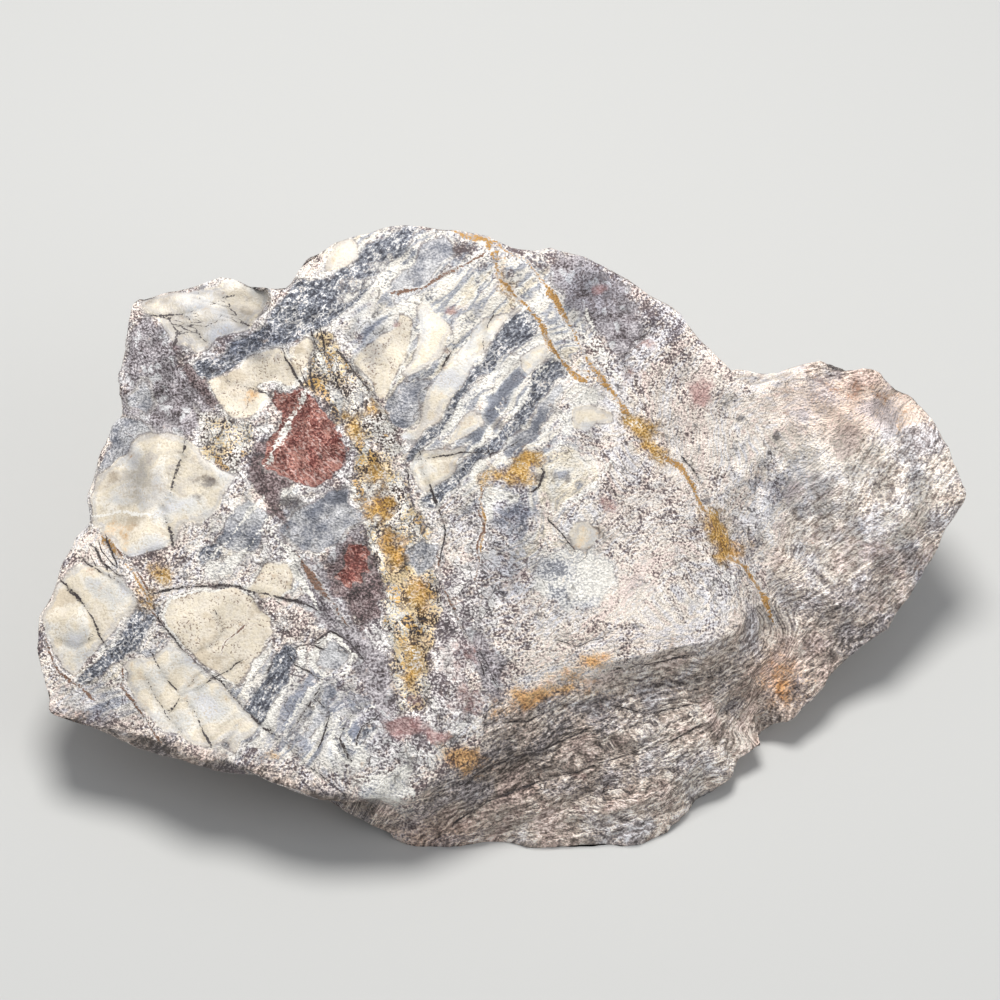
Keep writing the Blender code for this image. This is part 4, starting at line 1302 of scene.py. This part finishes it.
def with_blotches(bench, c, at, depth, colour):
    """The colour with its rosy and dark blotches, and the stains and smudges laid over it."""
    for name, least in BLOTCHES.items():
        blotch = bench.step(at.strayed(depth[name], 1.6), least, least + 0.5, 0.0, 0.75)
        colour = bench.mix(blotch, colour, getattr(c, name))
    for name, most in TINTS.items():
        blotch = at.strayed(bench.times_plus(at.grain, 0.6, depth[name]), 1.8)
        colour = bench.mix(bench.step(blotch, 0.45, 1.15, 0.0, most), colour, getattr(c, name), "MULTIPLY")
    return colour


def with_veins(bench, c, at, depth, colour):
    """The colour with its veins, which thin out and break here and there, some between pale borders."""
    thin = bench.times_plus(at.cloud, -8.0, bench.times_plus(at.grain, -5.0, 6.5))
    broken = bench.step(at.patchy, 0.40, 0.47, 0.5, 1.0)
    for name, tint, most, border in VEIN_LOOKS:
        across = bench.math("ADD", bench.away(at.strayed(depth[name + "_across"], VEIN_STRAY)), thin)
        near = bench.step(depth[name + "_off"], 8.0, 5.0)
        if border:
            edge = bench.times(bench.step(across, 3.2, 1.6, 0.0, border), near)
            colour = bench.mix(edge, colour, c.ground_pale)
        line = bench.times(bench.step(across, most, 0.25), near)
        colour = bench.mix(bench.times(line, broken), colour, getattr(c, tint))
    return colour


def painted_shading(bench, at, depth, smooth, layered):
    """Painted light that the colour is multiplied by: painted shade in hollows, a painted highlight on edges,
    and a painted glint from grain to grain, which follows the flakes where the rock is layered and is calm on
    smooth and banded rock."""
    along = bench.times(layered, bench.less(at.streak, at.grain))
    calm = bench.most(bench.times(smooth, 0.75), bench.step(depth["banded"], 0.3, 0.8, 0.0, 0.45))
    painted_glint = bench.step(bench.times_plus(along, 0.75, at.grain), 0.40, 0.60, -0.16, 0.18)
    painted_glint = bench.times(painted_glint, bench.less(1.0, calm))
    return bench.times(bench.step(depth["hollow"], -0.9, 0.9, PAINTED_HOLLOW_SHADE, PAINTED_EDGE_LIGHT),
                       bench.math("ADD", painted_glint, 1.0))


def bumps(bench, at, depth, smooth, hidden):
    """The finest relief: grains all over, and flakes and ledges where the rock is layered."""
    flaky = bench.most(bench.step(depth["brushed"], -LAYERED_SOFT, LAYERED_SOFT), hidden)
    steep = bench.times_plus(depth["front"], 0.6, 0.8)
    flakes = bench.math("ADD", at.streak, bench.step(at.ledge, 0.0, 0.010, 0.0, 0.35))
    flakes = bench.times(flakes, bench.times_plus(flaky, steep, 0.3))
    bump = bench.put("Bump")
    bench.feed_all(bump, {
        "Strength": bench.times_plus(smooth, -SMOOTH_BUMP_LOSS, BUMP_STRENGTH),
        "Distance": BUMP_HEIGHT * UNIT,
        "Height": bench.times_plus(at.grain, bench.times_plus(flaky, 0.4, 1.2), flakes),
    })
    return bump.outputs["Normal"]


def jasper_finish(c):
    """The stone's material: the groundmass, then each patch of rock, then cracks, blotches and veins."""
    material = bpy.data.materials.new("porcelain_jasper")
    bench = Bench(material)
    at = Patterns(bench)
    depth = {member: socket for name, group in FIELD_GROUPS.items()
             for member, socket in zip(group, bench.field(name))}
    smooth = bench.step(bench.most(depth["cream"], depth["tan"]), -3.0, 3.0)
    hidden = bench.times_plus(depth["seen"], -HIDDEN_LAYERED, HIDDEN_LAYERED)
    side = bench.step(at.strayed(depth["brushed"], LAYERED_STRAY), -LAYERED_SOFT, LAYERED_SOFT)
    layered = bench.most(side, hidden)
    brushed = brushed_rock(bench, c, at, depth)
    colour = bench.mix(side, groundmass(bench, c, at, depth), brushed)
    colour = with_patches(bench, c, at, depth, colour)
    colour = bench.mix(bench.times(bench.less(1.0, depth["seen"]), HIDDEN_LAYERED), colour, brushed)
    colour = with_cracks(bench, c, at, bench.most(smooth, layered), colour)
    colour = with_blotches(bench, c, at, depth, colour)
    colour = with_veins(bench, c, at, depth, colour)
    roughness = bench.times_plus(at.grain, GRAIN_ROUGHNESS, ROUGHNESS)
    bench.feed_all(bench.principled, {
        # the colour is multiplied here by painted shade in hollows, painted highlights on edges and painted
        # glints
        "Base Color": bench.vector("SCALE", colour, scale=painted_shading(bench, at, depth, smooth, layered)),
        "Roughness": bench.times_plus(smooth, -SMOOTH_GLOSS, roughness),
        "Specular IOR Level": GLOSS,
        "Normal": bumps(bench, at, depth, smooth, hidden),
    })
    return material


def put_fields(mesh, fields):
    """Stores the marking fields on the mesh, three in each attribute."""
    stored = {name: np.stack([fields[member] for member in group], axis=1)
              for name, group in FIELD_GROUPS.items()}
    stored["grain_way"] = fields["way"]
    for name, values in stored.items():
        flat = values.astype(np.float32).ravel()
        mesh.attributes.new(name, "FLOAT_VECTOR", "POINT").data.foreach_set("vector", flat)


# ---------------------------------------------------------------- the studio

FLOOR_SIDES, FLOOR_RINGS = 96, 24
FLOOR_SHADE, FLOOR_ROUGHNESS = 0.992, 0.9
KEY_PLACE, KEY_TINT = (-0.05, 0.17, 0.70), (1.0, 0.985, 0.96)
FILL_PLACE, FILL_TINT, FILL_SIZE = (0.6, -0.35, 0.6), (0.96, 0.98, 1.0), 0.6
LIT_SPOT = (0.0, 0.0, 0.02)
CLIP_START = 0.01


def floor_mesh(radius, sides, rings):
    """A flat round floor at height nought: radius times the square of an even share, turned by even angles.
    The rings close on a single point in the middle."""
    turn = 2 * pi * np.arange(sides) / sides
    ring = radius * (np.arange(1, rings + 1) / rings) ** 2
    flat = [np.outer(ring, np.cos(turn)), np.outer(ring, np.sin(turn)), np.zeros((rings, sides))]
    rim = np.stack(flat, axis=2)
    points = np.concatenate([np.zeros((1, 3)), rim.reshape(-1, 3)])
    side = np.arange(sides)
    following = (side + 1) % sides
    start = 1 + sides * np.arange(rings - 1)[:, None]
    inner, outer = start + side, start + sides + side
    bands = np.stack([inner, outer, start + sides + following, start + following], axis=2).reshape(-1, 4)
    middle = np.stack([np.zeros(sides, int), 1 + side, 1 + following], axis=1)
    mesh = bpy.data.meshes.new("studio_floor")
    mesh.from_pydata(points.tolist(), [], middle.tolist() + bands.tolist())
    mesh.shade_smooth()
    return mesh


def floor_finish(colour):
    """Pale matt board, plain all over."""
    material = bpy.data.materials.new("pale_board")
    bench = Bench(material)
    bench.feed_all(bench.principled, {
        "Base Color": tuple(FLOOR_SHADE * part for part in colour),
        "Roughness": FLOOR_ROUGHNESS,
        "Specular IOR Level": 0.0,
    })
    return material


def soft_light(name, size, power, colour, place):
    """A round soft light that faces the stone."""
    light = bpy.data.lights.new(name, "AREA")
    light.shape = "DISK"
    light.size = size
    light.energy = power
    light.color = colour
    lamp = bpy.data.objects.new(name, light)
    lamp.location = place
    lamp.rotation_euler = (Vector(LIT_SPOT) - Vector(place)).to_track_quat("-Z", "Y").to_euler()
    bpy.context.scene.collection.objects.link(lamp)


def studio_camera(lens):
    """The eye of the chart, looking down at the stone with a long lens."""
    camera = bpy.data.cameras.new("chart_eye")
    camera.lens = lens
    camera.clip_start = CLIP_START
    eye = bpy.data.objects.new("chart_eye", camera)
    eye.location = (EYE + SEAT) * UNIT
    eye.rotation_euler = (pi / 2 - LOOK_DOWN, 0.0, 0.0)
    bpy.context.scene.collection.objects.link(eye)
    bpy.context.scene.camera = eye


# ---------------------------------------------------------------- what a user can change


def linear(*levels):
    """A colour given as levels from 0 to 255 on a screen, as the light it gives off."""
    values = np.array(levels) / 255
    light = np.where(values <= 0.04045, values / 12.92, ((values + 0.055) / 1.055) ** 2.4)
    return tuple(float(value) for value in light)


def colour(name, description, *levels):
    return FloatVectorProperty(name=name, description=description, subtype="COLOR", size=3, min=0.0, max=1.0,
                               default=linear(*levels))


class JasperSizes(bpy.types.PropertyGroup):
    grid_quads: IntProperty(
        name="Grid", description="Squares along one side of the grid wrapped round the stone",
        default=128, min=16, max=128)
    easing_passes: IntProperty(
        name="Easing", description="How many times the creases between the stone's planes are eased",
        default=4, min=0, max=30)
    fine_relief: FloatProperty(
        name="Fine Relief", description="Share of the small lumps, thin layers and chips",
        default=1.0, min=0.0, max=2.0, subtype="FACTOR")


class JasperColours(bpy.types.PropertyGroup):
    ground_dark: colour("Ground Dark", "Darkest fragments of the broad face", 150, 142, 144)
    ground_mid: colour("Ground Middle", "Grey fragments of the broad face", 190, 182, 181)
    ground_light: colour("Ground Light", "Pinkish fragments of the broad face", 222, 214, 211)
    ground_pale: colour("Ground Pale", "Palest fragments of the broad face", 247, 243, 239)
    warm_tint: colour("Warm Tint", "Laid over rock that is cream or tan", 255, 248, 236)
    pink_tint: colour("Pink Tint", "Laid over rock that is pinkish", 254, 238, 231)
    cool_tint: colour("Cool Tint", "Laid over rock that is bluish", 232, 234, 242)
    pale_tint: colour("Pale Tint", "Laid over rock between the pink and the blue", 255, 252, 250)
    speck: colour("Speck", "Dark specks", 112, 101, 104)
    smudge: colour("Smudge", "Laid over rock that is smeared blue-grey", 176, 182, 198)
    mauve_dark: colour("Mauve Dark", "Dark mottles of the mauve rock", 116, 107, 110)
    mauve: colour("Mauve", "Mauve rock", 160, 153, 157)
    mauve_light: colour("Mauve Light", "Pale mottles of the mauve rock", 198, 192, 194)
    slate_dark: colour("Slate Dark", "Darkest slate", 78, 79, 88)
    slate: colour("Slate", "Slate", 116, 119, 129)
    slate_light: colour("Slate Light", "Pale mottles of the slate", 160, 163, 172)
    blue_dark: colour("Blue Dark", "Darker bands of the blue-grey porcelain", 150, 151, 158)
    blue: colour("Blue", "Blue-grey porcelain", 184, 183, 186)
    blue_light: colour("Blue Light", "Palest blue-grey porcelain", 212, 211, 212)
    tan_dark: colour("Tan Dark", "Darker swirls of the tan porcelain", 208, 194, 172)
    tan: colour("Tan", "Tan porcelain", 230, 220, 204)
    cream_cool: colour("Cream Cool", "Cool clouds of the cream porcelain", 218, 215, 208)
    cream: colour("Cream", "Cream porcelain", 233, 226, 214)
    cream_warm: colour("Cream Warm", "Warm clouds of the cream porcelain", 230, 218, 196)
    crack: colour("Crack", "Dark cracks", 72, 64, 64)
    red_dark: colour("Red Dark", "Dark mottles of the red jasper", 112, 58, 52)
    red: colour("Red", "Red jasper", 158, 102, 92)
    red_light: colour("Red Light", "Pale mottles of the red jasper", 184, 132, 120)
    red_pale: colour("Red Pale", "Pale scratches over the red jasper", 214, 180, 172)
    maroon_dark: colour("Maroon Dark", "Dark mottles of the maroon jasper", 96, 80, 80)
    maroon: colour("Maroon", "Maroon jasper", 132, 112, 112)
    maroon_light: colour("Maroon Light", "Pale mottles of the maroon jasper", 176, 162, 162)
    ochre_dark: colour("Ochre Dark", "Dark grains of ochre", 164, 122, 62)
    ochre: colour("Ochre", "Yellow ochre", 212, 166, 86)
    ochre_light: colour("Ochre Light", "Bright grains of ochre", 226, 196, 148)
    breccia_dark: colour("Breccia Dark", "Dark seams between broken splinters", 98, 86, 80)
    breccia_brown: colour("Breccia Brown", "Brown splinters", 158, 144, 132)
    breccia_ochre: colour("Breccia Ochre", "Laid over splinters dusted with ochre", 240, 208, 140)
    white_dull: colour("White Dull", "Duller streaks of the white porcelain", 222, 219, 216)
    white: colour("White", "White porcelain", 242, 238, 230)
    brushed_dark: colour("Brushed Dark", "Dark streaks of the layered sides", 108, 99, 94)
    brushed: colour("Brushed", "Grey streaks of the layered sides", 165, 155, 151)
    brushed_pink: colour("Brushed Pink", "Pinkish streaks of the layered sides", 190, 178, 172)
    brushed_light: colour("Brushed Light", "Palest streaks of the layered sides", 216, 206, 200)
    stain: colour("Stain", "Laid over rock that is stained rusty orange", 236, 190, 124)
    rose: colour("Rose", "Pink-red blushes", 172, 128, 124)
    dark_spot: colour("Dark Spot", "Dark grey spots", 96, 90, 92)
    ochre_vein: colour("Ochre Vein", "Thin ochre veins", 176, 134, 76)
    brown_vein: colour("Brown Vein", "Thin brown veins", 124, 96, 80)


class StudioSettings(bpy.types.PropertyGroup):
    floor_radius: FloatProperty(
        name="Floor Radius", description="Reach of the pale floor", default=2.5, min=0.5, unit="LENGTH")
    floor_colour: colour("Floor Colour", "Colour of the floor", 208, 208, 206)
    sky_colour: colour("Sky Colour", "Light that comes from all around", 224, 228, 234)
    sky_strength: FloatProperty(
        name="Sky Strength", description="Strength of the light from all around", default=0.42, min=0.0)
    key_power: FloatProperty(
        name="Key Power", description="Power of the large soft light overhead, in watts",
        default=4.6, min=0.0)
    key_size: FloatProperty(
        name="Key Size", description="Width of the large soft light", default=0.3, min=0.01, unit="LENGTH")
    fill_power: FloatProperty(
        name="Fill Power", description="Power of the soft light from the right, in watts",
        default=1.1, min=0.0)
    lens: FloatProperty(
        name="Lens", description="Focal length of the camera", default=105.0, min=1.0, unit="CAMERA")


# ---------------------------------------------------------------- operators and panel


class JASPER_OT_skin(bpy.types.Operator):
    """Wrap the stone in its fine skin, with its relief, its markings and its finish"""

    bl_idname = "jasper.skin"
    bl_label = "Jasper Skin"
    bl_options = {"REGISTER", "UNDO"}

    def execute(self, context):
        points, faces, fields = skin_points(context.scene.jasper_sizes)
        low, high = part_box(NODE)
        points = fit_into((points + SEAT) * UNIT, np.array(low), np.array(high))
        mesh = bpy.data.meshes.new("jasper_skin")
        mesh.from_pydata(points.tolist(), [], faces.tolist())
        mesh.shade_smooth()
        put_fields(mesh, fields)
        mesh.materials.append(jasper_finish(context.scene.jasper_colours))
        skin = bpy.data.objects.new("jasper_skin", mesh)
        context.scene.collection.objects.link(skin)
        if mesh.validate():
            raise RuntimeError("the skin's faces do not join up")
        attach(skin, "root")
        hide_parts(NODE)
        return {"FINISHED"}


class JASPER_OT_studio(bpy.types.Operator):
    """Lay the pale floor, hang the soft lights and set up the camera"""

    bl_idname = "jasper.studio"
    bl_label = "Jasper Studio"
    bl_options = {"REGISTER", "UNDO"}

    def execute(self, context):
        scene, studio = context.scene, context.scene.jasper_studio
        mesh = floor_mesh(studio.floor_radius, FLOOR_SIDES, FLOOR_RINGS)
        mesh.materials.append(floor_finish(studio.floor_colour))
        floor = bpy.data.objects.new("studio_floor", mesh)
        scene.collection.objects.link(floor)
        soft_light("key_light", studio.key_size, studio.key_power, KEY_TINT, KEY_PLACE)
        soft_light("fill_light", FILL_SIZE, studio.fill_power, FILL_TINT, FILL_PLACE)
        world = bpy.data.worlds.new("soft_sky")
        world.use_nodes = True
        sky = world.node_tree.nodes["Background"]
        sky.inputs["Color"].default_value = opaque(studio.sky_colour)
        sky.inputs["Strength"].default_value = studio.sky_strength
        scene.world = world
        scene.view_settings.view_transform = "Standard"
        studio_camera(studio.lens)
        return {"FINISHED"}


class JASPER_PT_sidebar(bpy.types.Panel):
    """Lists what builds the stone, with its sizes and colours"""

    bl_idname = "JASPER_PT_sidebar"
    bl_label = "Porcelain Jasper"
    bl_space_type = "VIEW_3D"
    bl_region_type = "UI"
    bl_category = "Jasper"

    def draw(self, context):
        for operator in OPERATORS:
            self.layout.operator(operator.bl_idname)
        for name, group in GROUPS.items():
            box = self.layout.box()
            box.label(text=name.replace("_", " ").title())
            for field in group.__annotations__:
                box.prop(getattr(context.scene, name), field)


GROUPS = {"jasper_sizes": JasperSizes, "jasper_colours": JasperColours, "jasper_studio": StudioSettings}
OPERATORS = (JASPER_OT_skin, JASPER_OT_studio)


def register():
    for group in (*GROUPS.values(), *OPERATORS, JASPER_PT_sidebar):
        bpy.utils.register_class(group)
    for name, group in GROUPS.items():
        setattr(bpy.types.Scene, name, PointerProperty(type=group))


def unregister():
    for name in GROUPS:
        delattr(bpy.types.Scene, name)
    for group in reversed((*GROUPS.values(), *OPERATORS, JASPER_PT_sidebar)):
        bpy.utils.unregister_class(group)


def main():
    register()
    bpy.ops.jasper.skin()
    bpy.ops.jasper.studio()


if __name__ == "__main__":
    main()
